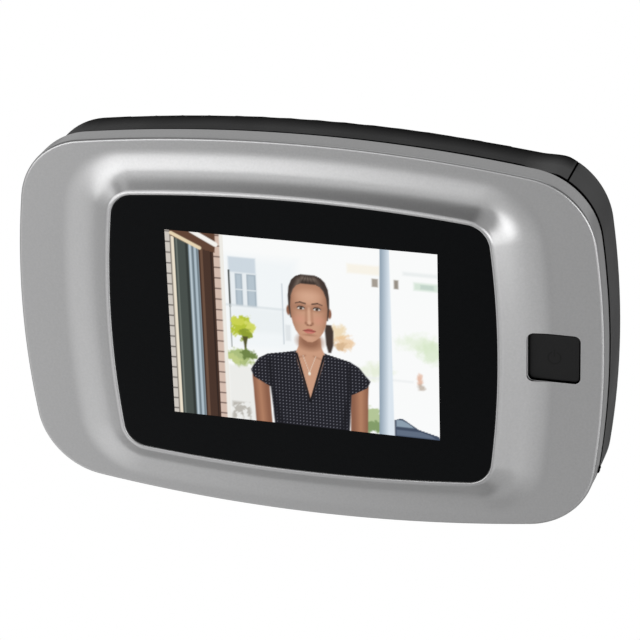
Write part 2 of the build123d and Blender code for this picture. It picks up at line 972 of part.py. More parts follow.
# End cover: closes the cells' bay, slides off to the right, with two tongues and two thumb ribs
def cover_tongue_z():
    return case_height / 2 - housing_inset - wall - cover_tongue_clearance - case_corner_radius / 4


def battery_cover():
    front = split_y + cover_gap
    left = cover_seam_x + cover_seam_gap
    outer = slab(case_wire(-cover_proud, front), back_y - front)
    outer = outer & block(left, case_width, front, back_y, -case_height, case_height)
    back_face = outer.faces().sort_by(Axis.Y)[-1]
    outer = fillet([e for e in back_face.edges() if e.center().X > left + cover_seam_gap], housing_edge_round)
    inner = slab(case_wire(wall, front), housing_inner_y - front)
    body = outer - inner
    for side in (1, -1):
        top = side * (cover_tongue_z() - cover_tongue_clearance)
        low = top - side * cover_tongue_thickness
        tongue = block(
            cover_seam_x - cover_tongue_length,
            case_width / 2 - case_corner_radius / 2,
            cell_axis_y - cover_tongue_width / 2,
            cell_axis_y + cover_tongue_width / 2,
            min(top, low),
            max(top, low),
        )
        body = body + tongue
    pad_x = cover_contact_x + contact_plate_thickness
    reach = contact_plate_width / 2
    for low, high in cover_contact_spans():
        pad = block(pad_x, case_width / 2, cell_axis_y - reach, cell_axis_y + reach, low, high)
        body = body + (pad & slab(case_wire(wall / 2, front), housing_inner_y - front))
    for i in range(grip_rib_count):
        z = grip_rib_z - i * grip_rib_pitch
        reach = math.sqrt((case_corner_radius + cover_proud) ** 2 - (z + case_corner[1]) ** 2)
        x = case_corner[0] + reach
        body = body + rod_y(x, z, grip_rib_radius, front, front + grip_rib_length)
    return body


def cover_contact_spans():
    places = cell_places()
    reach = contact_plate_width / 2
    return [(places[i] - reach, places[i + 1] + reach) for i in range(0, cell_count, 2)]


def cover_contacts():
    x = cover_contact_x
    y = cell_axis_y
    reach = contact_plate_width / 2
    back = x + contact_plate_thickness
    plates = [block(x, back, y - reach, y + reach, *span) for span in cover_contact_spans()]
    return Compound(children=plates)


# Wall bracket: stamped steel plate with four hooks, held by the clamp sleeve
def bracket_plate():
    high = plate_half_height
    low = plate_half_height - arm_height
    plate = block(plate_left_x, plate_right_x, plate_front_y, plate_back_y, -high, high)
    plate = plate + block(plate_left_x, arm_right_x, plate_front_y, plate_back_y, low, high)
    plate = plate + block(plate_left_x, arm_right_x, plate_front_y, plate_back_y, -high, -low)
    uprights = plate.edges().filter_by(Axis.Y)
    outer_corners = [e for e in uprights if abs(e.center().X - plate_right_x) > plate_corner_radius]
    plate = fillet(outer_corners, plate_corner_radius)
    sleeve_hole = sleeve_outer_radius + sleeve_shoulder + barrel_hole_clearance
    plate -= rod_y(0, 0, sleeve_hole, plate_front_y - overrun, overrun)
    for side in (1, -1):
        z = side * bracket_screw_z
        plate -= rod_y(bracket_screw_x, z, bracket_screw_hole_radius, plate_front_y - overrun, overrun)
    lip_back = recess_inner_y - hook_play
    lip_front = lip_back - plate_thickness
    for x, z in hook_places():
        x0 = x - hook_width / 2
        x1 = x + hook_width / 2
        base = z - hook_neck / 2
        neck_top = z + hook_neck / 2
        plate = plate + block(x0, x1, lip_front, plate_front_y, base, neck_top)
        plate = plate + block(x0, x1, lip_front, lip_back, base, neck_top + hook_lip)
    return plate


def adhesive_pads():
    pads = []
    half = pad_height / 2
    left = plate_left_x + pad_inset
    pads.append(rounded_block(left, left + pad_width, plate_back_y, 0, -half, half, pad_inset))
    arm_right = arm_right_x - pad_inset
    arm_left = arm_right - pad_width
    tall = (arm_height - pad_inset) / 2
    for side in (1, -1):
        z = side * (plate_half_height - arm_height / 2)
        pads.append(rounded_block(arm_left, arm_right, plate_back_y, 0, z - tall, z + tall, pad_inset))
    return Compound(children=pads)


# Clamp sleeve: screws onto the barrel from indoors and presses the plate against the door. A
# shoulder centres it in the plate, and a neck parts that from the tube that lies in the door.
def clamp_sleeve():
    flange_front = plate_front_y - sleeve_flange_thickness
    end = plate_front_y + sleeve_length
    bore = barrel_outer_radius + thread_clearance
    shoulder = sleeve_outer_radius + sleeve_shoulder
    neck = sleeve_outer_radius - sleeve_neck_depth
    sleeve = turned_y(
        [
            (bore, flange_front),
            (sleeve_flange_radius, flange_front),
            (sleeve_flange_radius, plate_front_y),
            (shoulder, plate_front_y),
            (shoulder, plate_back_y),
            (neck, plate_back_y),
            (neck, 0),
            (sleeve_outer_radius, 0),
            (sleeve_outer_radius, end),
            (bore, end),
        ]
    )
    reach = sleeve_flange_radius - sleeve_notch_depth
    for side in (1, -1):
        sleeve -= block(
            min(side * reach, side * (sleeve_flange_radius + overrun)),
            max(side * reach, side * (sleeve_flange_radius + overrun)),
            flange_front - overrun,
            plate_front_y,
            -sleeve_notch_width / 2,
            sleeve_notch_width / 2,
        )
    return sleeve


# Camera barrel: turned metal head outside the door with a threaded tube
def camera_barrel():
    head_back = door_thickness + gasket_thickness
    head_front = head_back + head_thickness
    start = head_back - barrel_length
    eye_bore = eye_radius + eye_clearance
    opening = eye_radius - lens_stop_width
    outline = [
        (barrel_bore_radius, start),
        (barrel_outer_radius, start),
        (barrel_outer_radius, head_back),
        (head_radius, head_back),
        (head_radius, head_front - head_edge_round),
        (head_radius - head_edge_round, head_front),
        (eye_bore, head_front),
        (eye_bore, head_front - eye_seat_depth),
        (opening, head_front - eye_seat_depth),
        (opening, head_front - eye_seat_depth - lens_stop_width),
        (barrel_bore_radius, head_front - eye_seat_depth - lens_stop_width),
    ]
    barrel = turned_y(outline)
    grooves = int((barrel_length - sleeve_flange_thickness) / 2 / thread_groove_pitch)
    inner = barrel_outer_radius - thread_groove_depth
    for i in range(grooves):
        y = start + thread_groove_pitch * (i + 1)
        barrel -= turned_y(
            [
                (inner, y - thread_groove_width / 8),
                (barrel_outer_radius + overrun, y - thread_groove_width / 2 - overrun),
                (barrel_outer_radius + overrun, y + thread_groove_width / 2 + overrun),
                (inner, y + thread_groove_width / 8),
            ]
        ) & turned_y(
            [
                (0, y - thread_groove_width / 2),
                (barrel_outer_radius + overrun, y - thread_groove_width / 2),
                (barrel_outer_radius + overrun, y + thread_groove_width / 2),
                (0, y + thread_groove_width / 2),
            ]
        )
    return barrel


def ring_y(inner, outer, y0, y1):
    return turned_y([(inner, y0), (outer, y0), (outer, y1), (inner, y1)])


def door_gasket():
    inner = sleeve_outer_radius + barrel_hole_clearance
    return ring_y(inner, head_radius - gasket_inset, door_thickness, door_thickness + gasket_thickness)


def head_front_y():
    return door_thickness + gasket_thickness + head_thickness


def eye_window():
    back = head_front_y() - eye_seat_depth
    return rod_y(0, 0, eye_radius, back, back + eye_thickness)


def holder_front_y():
    return head_front_y() - eye_seat_depth - lens_stop_width - holder_front_gap


# Camera module: lens holder, two lenses, stop, filter, sensor and board
def lens_levels():
    front = holder_front_y()
    front_lens_back = front - front_lens_crown - front_lens_edge
    stop_front = front_lens_back - lens_clearance
    stop_back = stop_front - lens_stop_length
    rear_back = stop_back - lens_clearance - rear_lens_edge
    return front, front_lens_back, stop_front, stop_back, rear_back


def lens_holder():
    front, front_lens_back, stop_front, stop_back, rear_back = lens_levels()
    bore_front = front_lens_radius + lens_clearance
    bore_rear = rear_lens_radius + lens_clearance
    opening = rear_lens_radius - lens_stop_width
    back = front - holder_length
    chamber_end = rear_back - rear_lens_crown - lens_clearance
    chamber = holder_radius - holder_wall
    return turned_y(
        [
            (holder_radius, front),
            (holder_radius, back),
            (chamber, back),
            (chamber, chamber_end),
            (bore_rear, chamber_end),
            (bore_rear, stop_back),
            (opening, stop_back),
            (opening, stop_front),
            (bore_front, stop_front),
            (bore_front, front),
        ]
    )


def domed_disc(radius, edge, crown, flat_y, out):
    rise = crown * out
    ball = (radius ** 2 + crown ** 2) / (2 * crown)
    shoulder_y = flat_y + edge * out
    lean = math.asin(radius / ball) / 2
    mid = (ball * math.sin(lean), shoulder_y + rise - (ball - ball * math.cos(lean)) * out)
    outline = [
        Edge.make_line(Vector(0, flat_y, 0), Vector(radius, flat_y, 0)),
        Edge.make_line(Vector(radius, flat_y, 0), Vector(radius, shoulder_y, 0)),
        Edge.make_three_point_arc(
            Vector(radius, shoulder_y, 0), Vector(mid[0], mid[1], 0), Vector(0, shoulder_y + rise, 0)
        ),
        Edge.make_line(Vector(0, shoulder_y + rise, 0), Vector(0, flat_y, 0)),
    ]
    return revolve(Face(Wire(outline)), Axis.Y, 360)


def front_lens():
    flat = lens_levels()[1]
    return domed_disc(front_lens_radius, front_lens_edge, front_lens_crown, flat, 1)


def rear_lens():
    rear_back = lens_levels()[4]
    flat = rear_back + rear_lens_edge
    return domed_disc(rear_lens_radius, rear_lens_edge, rear_lens_crown, flat, -1)


def sensor_levels():
    holder_back = holder_front_y() - holder_length
    board_front = holder_back
    board_back = board_front - sensor_board_thickness
    return board_front, board_back


def image_sensor():
    board_front = sensor_levels()[0]
    half = sensor_side / 2
    return block(-half, half, board_front, board_front + sensor_thickness, -half, half)


def light_filter():
    start = sensor_levels()[0] + sensor_thickness + sensor_gap
    half = filter_side / 2
    return block(-half, half, start, start + filter_thickness, -half, half)


def sensor_board():
    board_front, board_back = sensor_levels()
    return rod_y(0, 0, sensor_board_radius, board_back, board_front)


def module_retainer():
    board_back = sensor_levels()[1]
    outer = barrel_bore_radius - thread_clearance
    return ring_y(retainer_bore_radius, outer, board_back - retainer_length, board_back)


# Ribbon from the camera through the barrel and the sleeve to the socket behind the monitor
def camera_ribbon():
    start = sensor_levels()[1] - ribbon_end_gap
    turn = plate_front_y - sleeve_flange_thickness - ribbon_turn_clearance
    end = plug_start_y() + plug_length
    route = FilletPolyline(
        (0, start, 0),
        (0, turn, 0),
        (0, turn, socket_z),
        (0, end, socket_z),
        radius=ribbon_bend_radius,
    )
    start_plane = Plane(origin=route @ 0, x_dir=(1, 0, 0), z_dir=route % 0)
    return sweep(start_plane * Rectangle(ribbon_width, ribbon_thickness), path=route)


pieces = {
    "front_shell": front_shell,
    "display_window": display_window,
    "window_tape": window_tape,
    "lcd_frame": lcd_frame,
    "lcd_panel": lcd_panel,
    "backlight": backlight,
    "lcd_flex": lcd_flex,
    "main_board": main_board,
    "board_chips": board_chips,
    "board_capacitors": board_capacitors,
    "card_slot": card_slot,
    "board_screws": board_screws,
    "camera_socket": camera_socket,
    "camera_plug": camera_plug,
    "view_button": view_button,
    "tact_switch": tact_switch,
    "switch_dome": switch_dome,
    "button_board": button_board,
    "battery_tray": battery_tray,
    "spring_contacts": spring_contacts,
    "power_leads": power_leads,
    "back_housing": back_housing,
    "case_screws": case_screws,
    "battery_cover": battery_cover,
    "cover_contacts": cover_contacts,
    "bracket_plate": bracket_plate,
    "adhesive_pads": adhesive_pads,
    "clamp_sleeve": clamp_sleeve,
    "camera_barrel": camera_barrel,
    "door_gasket": door_gasket,
    "eye_window": eye_window,
    "lens_holder": lens_holder,
    "front_lens": front_lens,
    "rear_lens": rear_lens,
    "light_filter": light_filter,
    "image_sensor": image_sensor,
    "sensor_board": sensor_board,
    "module_retainer": module_retainer,
    "camera_ribbon": camera_ribbon,
}

os.makedirs("parts", exist_ok=True)
for name, make in pieces.items():
    export_step(make(), f"parts/{name}.step")
for i in range(cell_count):
    export_step(cell(i), f"parts/cell_{i + 1}.step")
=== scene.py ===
import bpy
import bmesh
import math
import numpy as np
from mathutils import Matrix, Vector


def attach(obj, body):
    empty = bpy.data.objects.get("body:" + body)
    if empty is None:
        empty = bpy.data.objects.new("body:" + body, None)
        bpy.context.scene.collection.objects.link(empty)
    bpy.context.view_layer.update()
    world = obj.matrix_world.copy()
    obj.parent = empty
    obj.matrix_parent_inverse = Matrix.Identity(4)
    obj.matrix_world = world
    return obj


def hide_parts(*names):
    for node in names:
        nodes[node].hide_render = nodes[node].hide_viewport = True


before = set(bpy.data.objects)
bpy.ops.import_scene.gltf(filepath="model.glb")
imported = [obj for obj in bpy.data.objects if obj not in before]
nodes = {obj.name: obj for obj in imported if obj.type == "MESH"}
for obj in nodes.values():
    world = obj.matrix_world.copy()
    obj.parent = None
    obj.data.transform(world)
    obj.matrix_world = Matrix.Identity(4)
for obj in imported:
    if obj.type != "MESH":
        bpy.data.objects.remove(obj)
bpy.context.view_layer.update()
scene = bpy.context.scene

# Viewpoint: in front of the indoor monitor, to its right and above it, through a long lens. The
# object hangs on a door, so nothing else holds it.
camera_place = Vector((0.16413, -0.52649, 0.25275))
camera_yaw = 0.30569
camera_pitch = 0.43674
camera_roll = -0.03325
camera_data = bpy.data.cameras.new("camera")
camera_data.lens = 161.756
camera_data.sensor_width = 36
camera_data.clip_start = 0.05
camera = bpy.data.objects.new("camera", camera_data)
scene.collection.objects.link(camera)
back = Vector((
    math.sin(camera_yaw) * math.cos(camera_pitch),
    -math.cos(camera_yaw) * math.cos(camera_pitch),
    math.sin(camera_pitch),
))
level = Vector((math.cos(camera_yaw), math.sin(camera_yaw), 0))
upward = back.cross(level)
right_way = math.cos(camera_roll) * level + math.sin(camera_roll) * upward
up_way = math.cos(camera_roll) * upward - math.sin(camera_roll) * level
turn = Matrix((right_way, up_way, back)).transposed()
camera.matrix_world = Matrix.Translation(camera_place) @ turn.to_4x4()
scene.camera = camera
scene.view_settings.view_transform = "Standard"

# Studio: a plain pale floor below and behind the door viewer, a room that is pale behind it and dim
# in front, and soft lamps. The camera sees the floor behind the object, so the floor shows white.
floor_drop = 0.30
floor_front = -0.05
floor_back = 7.0
floor_half_width = 6.0
floor_mirror_share = 0.15
floor_grey = (0.6, 0.6, 0.6)
room_low_level = 0.85
room_low_right_share = 0.25
room_floor_share = 1.30
room_far_left_share = 0.7
room_high_level = 0.08
room_back_level = 0.55
room_rise = (0.1, 0.5)
room_right_fade = (-0.45, -0.10)
room_left_fade = (-0.9, -0.55)
room_floor_fade = (-0.60, -0.42)
room_back_fade = (0.0, 0.4)
lamp_distance = 2.4


def given(socket, value):
    """Sets a socket to a number or a colour, or joins another socket to it."""
    if isinstance(value, bpy.types.NodeSocket):
        socket.id_data.links.new(value, socket)
    elif isinstance(value, tuple):
        socket.default_value = (*value, 1)
    else:
        socket.default_value = value


def maths(operation, first, second=0.0):
    owner = first if isinstance(first, bpy.types.NodeSocket) else second
    node = owner.id_data.nodes.new("ShaderNodeMath")
    node.operation = operation
    given(node.inputs[0], first)
    given(node.inputs[1], second)
    return node.outputs[0]


def both(first, second):
    return maths("MULTIPLY", first, second)


def either(first, second):
    return maths("MAXIMUM", first, second)


def ranged(value, low, high, start=0.0, end=1.0):
    """Low up to the start, high from the end on, and even between the two."""
    node = value.id_data.nodes.new("ShaderNodeMapRange")
    ends = (("Value", value), ("From Min", start), ("From Max", end), ("To Min", low), ("To Max", high))
    for name, amount in ends:
        given(node.inputs[name], amount)
    return node.outputs["Result"]


def coordinates(owner, kind="Object"):
    return owner.node_tree.nodes.new("ShaderNodeTexCoord").outputs[kind]


def axes(owner, kind="Object"):
    """The x, y and z that a material or the world is looked up at."""
    apart = owner.node_tree.nodes.new("ShaderNodeSeparateXYZ")
    given(apart.inputs[0], coordinates(owner, kind))
    return tuple(apart.outputs)


def material_named(name):
    material = bpy.data.materials.new(name)
    material.use_nodes = True
    tree = material.node_tree
    tree.nodes.clear()
    return material, tree, tree.nodes.new("ShaderNodeOutputMaterial").inputs["Surface"]


floor_material, tree, surface = material_named("studio_floor")
matte = tree.nodes.new("ShaderNodeBsdfDiffuse")
given(matte.inputs["Color"], floor_grey)
glow = tree.nodes.new("ShaderNodeEmission")
rays = tree.nodes.new("ShaderNodeLightPath").outputs
seen = either(rays["Is Camera Ray"], rays["Is Transmission Ray"])
mirrored = both(rays["Is Glossy Ray"], floor_mirror_share)
mix = tree.nodes.new("ShaderNodeMixShader")
for socket, source in zip(mix.inputs, (either(seen, mirrored), matte.outputs[0], glow.outputs[0])):
    given(socket, source)
given(surface, mix.outputs[0])


def finished(name, mesh, *materials):
    piece = bpy.data.objects.new(name, mesh)
    scene.collection.objects.link(piece)
    for material in materials:
        mesh.materials.append(material)
    return piece


def mesh_from(name, work, smooth=True):
    mesh = bpy.data.meshes.new(name)
    work.to_mesh(mesh)
    work.free()
    mesh.polygons.foreach_set("use_smooth", [smooth] * len(mesh.polygons))
    return mesh


work = bmesh.new()
bmesh.ops.create_grid(work, x_segments=1, y_segments=1, size=0.5)
bmesh.ops.scale(work, verts=work.verts, vec=(2 * floor_half_width, floor_back - floor_front, 1))
bmesh.ops.translate(work, verts=work.verts, vec=(0, (floor_back + floor_front) / 2, -floor_drop))
floor = finished("studio_floor", mesh_from("studio_floor", work, False), floor_material)

world = bpy.data.worlds.new("room")
scene.world = world
world.use_nodes = True
room = world.node_tree.nodes["Background"].inputs
given(room["Color"], (1, 1, 1))
x, y, z = axes(world, "Generated")
level_here = ranged(z, room_low_level, room_high_level, *room_rise)
for share in (
    ranged(x, 1, room_low_right_share, *room_right_fade),
    ranged(x, room_far_left_share, 1, *room_left_fade),
    ranged(z, room_floor_share, 1, *room_floor_fade),
):
    level_here = both(level_here, share)
behind = ranged(y, 0, 1, *room_back_fade)
lift = both(behind, maths("SUBTRACT", room_back_level, level_here))
given(room["Strength"], maths("ADD", level_here, lift))


def lamp(name, azimuth, elevation, width, height, radiance):
    data = bpy.data.lights.new(name, "AREA")
    data.shape = "RECTANGLE"
    data.size = width
    data.size_y = height
    data.energy = radiance * math.pi * width * height
    light = bpy.data.objects.new(name, data)
    scene.collection.objects.link(light)
    around = math.radians(azimuth)
    rise = math.radians(elevation)
    way = Vector((
        math.sin(around) * math.cos(rise),
        -math.cos(around) * math.cos(rise),
        math.sin(rise),
    ))
    light.location = way * lamp_distance
    light.rotation_euler = way.to_track_quat("Z", "Y").to_euler()
    return light


lamp("far_left_softbox", -51, 3, 1.04, 1.0, 1.48)
lamp("left_softbox", -27, 3, 1.02, 1.0, 1.85)
lamp("middle_softbox", -3, 3, 1.02, 1.0, 0.55)
lamp("right_softbox", 21, -1, 1.04, 1.0, 2.1)
lamp("far_right_softbox", 45, -4, 1.04, 1.0, 1.8)
lamp("upper_left_softbox", -30, 28, 1.4, 0.8, 1.0)
lamp("upper_middle_softbox", -3, 22, 0.8, 0.6, 0.7)
lamp("upper_right_softbox", 25, 29, 1.4, 0.7, 0.56)
lamp("low_right_softbox", 23, -27, 2.1, 1.0, 0.58)
lamp("low_far_right_softbox", 68, -22, 1.3, 1.0, 1.35)
lamp("low_left_softbox", -52, -32, 1.6, 1.0, 0.22)
lamp("lowest_softbox", 36, -50, 2.2, 1.5, 0.34)
lamp("overhead_softbox", 0, 84, 1.8, 1.8, 0.7)
lamp("corner_lamp", 24, 1, 1.0, 1.0, 0.72).data.shape = "ELLIPSE"

# Front shell: injection moulded plastic with satin silver lacquer. A flat border rises in a concave
# ramp to a thin rim round the window, and four screws from the back housing hold it.
case_half_width = 0.06268
case_half_height = 0.04203
case_top_radius = 0.344
case_side_radius = 0.184
case_corner_radius = 0.0158
window_half_width = 0.0413
window_half_height = 0.03045
window_top_radius = 0.359
window_side_radius = 0.200
window_corner_radius = 0.0051
shell_back = -0.0123
border_front = -0.0172
rim_front = -0.0202
edge_round = 0.00056
flat_guard = 0.0002
shell_wall = 0.0015
rim_land = 0.00125
rim_start = 34.2
rim_round = 0.0016
rim_inner_round = 0.00027
window_clearance = 0.00008
ledge_front = -0.01890
ledge_back = -0.0177
ledge_width = 0.0015
ramp_reach_x = 0.0104
ramp_reach_z = 0.00815
ramp_slope_shares = (0.0, 0.083, 0.16, 0.207, 0.265, 0.41, 0.61, 0.68, 0.68)
ramp_rings = 36
ramp_blend = 2
top_steps = 56
side_steps = 36
corner_steps = 26
side_levels = 4
edge_steps = 8
rim_steps = 10
button_x = 0.0524
button_z = 0.00009
button_half_width = 0.00512
button_half_height = 0.00501
button_corner = 0.0010
button_clearance = 0.00029
hole_round = 0.00007
hole_slack = 0.00005
hole_pocket = 0.0013
hole_pocket_front = -0.0162
hole_front = -0.0190
hole_back = -0.0150
hole_steps = 3
hole_overrun_share = 1.2
hole_softness = 0.00002
bare_wall_and_shade_softness = 0.00003
shell_sharp_angle = 14
mask_softness = 0.0001
noise_low = 0.3
noise_high = 0.7
broad_noise_share = 0.025


def corner_of(half_width, half_height, top_radius, side_radius, corner_radius):
    top_centre = Vector((0, half_height - top_radius))
    side_centre = Vector((half_width - side_radius, 0))
    reach_top = top_radius - corner_radius
    reach_side = side_radius - corner_radius
    between = side_centre - top_centre
    span = between.length
    along = (reach_top ** 2 - reach_side ** 2 + span ** 2) / (2 * span)
    across = math.sqrt(reach_top ** 2 - along ** 2)
    way = between / span
    centre = top_centre + along * way + across * Vector((-way.y, way.x))
    if centre.x + centre.y < 0:
        centre = top_centre + along * way - across * Vector((-way.y, way.x))
    top_lean = math.atan2(centre.x, centre.y - top_centre.y)
    side_lean = math.atan2(centre.y, centre.x - side_centre.x)
    return top_centre.y, side_centre.x, centre, top_lean, side_lean


def outline_places(outline):
    """Even places round an outline of two long arcs, two side arcs and four corner arcs."""
    half_width, half_height, top_radius, side_radius, corner_radius = outline
    top_z, side_x, centre, top_lean, side_lean = corner_of(*outline)
    arcs = [
        (0, top_z, top_radius, -top_lean, top_lean, top_steps),
        (centre.x, centre.y, corner_radius, top_lean, math.pi / 2 - side_lean, corner_steps),
        (side_x, 0, side_radius, math.pi / 2 - side_lean, math.pi / 2 + side_lean, side_steps),
        (centre.x, -centre.y, corner_radius, math.pi / 2 + side_lean, math.pi - top_lean, corner_steps),
    ]
    half = []
    for x, z, radius, start, end, steps in arcs:
        for i in range(steps):
            angle = start + (end - start) * i / steps
            half.append((x + radius * math.sin(angle), z + radius * math.cos(angle)))
    return half + [(-x, -z) for x, z in half]


def set_ring(ring, places, y):
    for vert, (x, z) in zip(ring, places):
        vert.co = (x, y, z)


def edges_round(ring):
    pairs = zip(ring, ring[1:] + ring[:1])
    return [next(e for e in a.link_edges if e.other_vert(a) == b) for a, b in pairs]


def first_ring(work, places, y):
    ring = bmesh.ops.create_circle(work, radius=case_half_height, segments=len(places))["verts"]
    ordered = [ring[0]]
    while len(ordered) < len(ring):
        beside = [e.other_vert(ordered[-1]) for e in ordered[-1].link_edges]
        ordered.append(next(v for v in beside if v not in ordered[-2:]))
    set_ring(ordered, places, y)
    return ordered


def next_ring(work, ring, places, y):
    made = bmesh.ops.extrude_edge_only(work, edges=edges_round(ring))["geom"]
    new = {v for v in made if isinstance(v, bmesh.types.BMVert)}
    carried = [next(e.other_vert(v) for e in v.link_edges if e.other_vert(v) in new) for v in ring]
    set_ring(carried, places, y)
    return carried


def case_outline(inset):
    return (
        case_half_width - inset, case_half_height - inset, case_top_radius - inset,
        case_side_radius - inset, case_corner_radius - inset,
    )


def window_outline(grow, share=0.0):
    grow_x = grow + share * ramp_reach_x
    grow_z = grow + share * ramp_reach_z
    return (
        window_half_width + grow_x, window_half_height + grow_z, window_top_radius + grow_z,
        window_side_radius + grow_x, window_corner_radius + grow_z,
    )


def lofted(work, levels):
    """Carries a ring through levels of (places, y), and returns the first and the last ring."""
    first = first_ring(work, *levels[0])
    last = first
    for places, y in levels[1:]:
        last = next_ring(work, last, places, y)
    return first, last


def closed_loft(name, levels):
    """A solid ring: the loft with its last ring joined to its first."""
    work = bmesh.new()
    first, last = lofted(work, levels)
    bmesh.ops.bridge_loops(work, edges=edges_round(first) + edges_round(last))
    bmesh.ops.recalc_face_normals(work, faces=work.faces)
    return mesh_from(name, work)


def capped_loft(name, levels):
    """A solid: the loft with both ends closed."""
    work = bmesh.new()
    lofted(work, levels)
    bmesh.ops.holes_fill(work, edges=[e for e in work.edges if e.is_boundary])
    bmesh.ops.recalc_face_normals(work, faces=work.faces)
    return mesh_from(name, work)


def quarter_round(outline_at, radius, front, steps):
    """Levels of a rounded edge from its side to its front. The outline follows the inset."""
    levels = []
    for i in range(steps + 1):
        angle = math.pi / 2 * i / steps
        levels.append((outline_at(radius * (1 - math.cos(angle))), front + radius * (1 - math.sin(angle))))
    return levels


# A narrow ring beside each rounded edge keeps the shading of the flat border even.
shell_levels = [(case_outline(shell_wall), shell_back)]
side_height = border_front + edge_round - shell_back
for i in range(side_levels):
    shell_levels.append((case_outline(0), shell_back + side_height * i / side_levels))
shell_levels += quarter_round(case_outline, edge_round, border_front, edge_steps)
shell_levels.append((case_outline(edge_round + flat_guard), border_front))
shell_levels.append((window_outline(rim_land + flat_guard, 1), border_front))
ways = np.linspace(0, 1, ramp_rings + 1)
slopes = np.interp(ways, np.linspace(0, 1, len(ramp_slope_shares)), ramp_slope_shares)
blend = np.ones(2 * ramp_blend + 1) / (2 * ramp_blend + 1)
slopes[ramp_blend:-ramp_blend] = np.convolve(slopes, blend, "valid")
heights = np.append(0, np.cumsum(slopes[1:] + slopes[:-1]))
rim_lean = math.radians(rim_start)
heights *= (border_front - rim_front - rim_round * (1 - math.cos(rim_lean))) / heights[-1]
for way, height in zip(ways.tolist(), heights.tolist()):
    shell_levels.append((window_outline(rim_land, 1 - way), border_front - height))
for i in range(1, rim_steps + 1):
    angle = rim_lean * (1 - i / rim_steps)
    shell_levels.append((
        window_outline(rim_land - rim_round * (math.sin(rim_lean) - math.sin(angle))),
        rim_front + rim_round * (1 - math.cos(angle)),
    ))
shell_levels += reversed(quarter_round(
    lambda inset: window_outline(window_clearance + inset), rim_inner_round, rim_front, edge_steps,
))
shell_levels += [
    (window_outline(window_clearance), ledge_front),
    (window_outline(-ledge_width), ledge_front),
    (window_outline(-ledge_width), ledge_back),
    (window_outline(0), ledge_back),
    (window_outline(0), border_front + shell_wall),
    (case_outline(shell_wall), border_front + shell_wall),
]
shell_mesh = closed_loft("front_shell", [(outline_places(outline), y) for outline, y in shell_levels])


def principled(name):
    """A new material of one principled shader, and that shader's sockets."""
    material, tree, surface = material_named(name)
    shader = tree.nodes.new("ShaderNodeBsdfPrincipled")
    given(surface, shader.outputs[0])
    return material, shader.inputs


def look_of(material):
    return material.node_tree.nodes["Principled BSDF"].inputs


def noise(where, scale, detail=2.0):
    node = where.id_data.nodes.new("ShaderNodeTexNoise")
    for name, value in (("Vector", where), ("Scale", scale), ("Detail", detail)):
        given(node.inputs[name], value)
    return node.outputs["Fac"]


def swayed(value, low, high):
    """A number from low to high that follows a noise over its usual range."""
    return ranged(value, low, high, noise_low, noise_high)


def mixed(factor, first, second):
    """Mixes two colours, or two numbers, each given as a value or as a socket."""
    node = factor.id_data.nodes.new("ShaderNodeMix")
    node.data_type = "RGBA" if isinstance(second, tuple) else "FLOAT"
    for name, value in (("Factor", factor), ("A", first), ("B", second)):
        given(node.inputs[name], value)
    return node.outputs["Result"]


def bumped(height, distance):
    node = height.id_data.nodes.new("ShaderNodeBump")
    given(node.inputs["Distance"], distance)
    given(node.inputs["Height"], height)
    return node.outputs["Normal"]


def grained(name, dark, light, rough, grain, bump=0.0, metallic=0.0, specular=0.5, stretch=None):
    """A colour and a bump that follow a fine noise. A pair of roughnesses follows a broad one."""
    material, look = principled(name)
    where = coordinates(material)
    if stretch:
        node = material.node_tree.nodes.new("ShaderNodeVectorMath")
        node.operation = "MULTIPLY"
        node.inputs[1].default_value = stretch
        given(node.inputs[0], where)
        where = node.outputs[0]
    fine = noise(where, grain, 3.0)
    if isinstance(rough, tuple):
        rough = swayed(noise(where, grain * broad_noise_share), *rough)
    given(look["Base Color"], mixed(swayed(fine, 0, 1), dark, light))
    given(look["Roughness"], rough)
    given(look["Metallic"], metallic)
    given(look["Specular IOR Level"], specular)
    if bump:
        given(look["Normal"], bumped(fine, bump))
    return material


def size_of(value):
    return maths("ABSOLUTE", value)


def above(value, level, softness=mask_softness):
    return ranged(value, 0, 1, level, level + softness)


def below(value, level, softness=mask_softness):
    return ranged(value, 1, 0, level - softness, level)


def band(value, middle, half_width, softness=mask_softness):
    return below(size_of(maths("SUBTRACT", value, middle)), half_width, softness)


look_names = {
    "colour": "Base Color",
    "metallic": "Metallic",
    "rough": "Roughness",
    "specular": "Specular IOR Level",
    "ior": "IOR",
}


def layered(material, mask, **changes):
    """Another look laid over a material where the mask is 1."""
    for name, value in changes.items():
        socket = look_of(material)[look_names[name]]
        under = socket.links[0].from_socket if socket.is_linked else socket.default_value
        given(socket, mixed(mask, under, value))


def rounded_places(centre_x, centre_z, half_width, half_height, radius, steps=8):
    places = []
    for side_x, side_z, turn in ((1, 1, 0), (1, -1, 90), (-1, -1, 180), (-1, 1, 270)):
        x = centre_x + side_x * (half_width - radius)
        z = centre_z + side_z * (half_height - radius)
        for i in range(steps + 1):
            angle = math.radians(turn + 90 * i / steps)
            places.append((x + radius * math.sin(angle), z + radius * math.cos(angle)))
    return places


def button_places(grow):
    return rounded_places(
        button_x, button_z, button_half_width + grow, button_half_height + grow, button_corner + grow,
    )


def cut_by(mesh, cutter_mesh):
    whole = bpy.data.objects.new("whole", mesh)
    cutter = bpy.data.objects.new("cutter", cutter_mesh)
    for piece in (whole, cutter):
        scene.collection.objects.link(piece)
    cut = whole.modifiers.new("cut", "BOOLEAN")
    cut.operation = "DIFFERENCE"
    cut.solver = "EXACT"
    cut.object = cutter
    bpy.context.view_layer.update()
    result = bpy.data.meshes.new_from_object(whole.evaluated_get(bpy.context.evaluated_depsgraph_get()))
    bpy.data.objects.remove(whole)
    bpy.data.objects.remove(cutter)
    return result
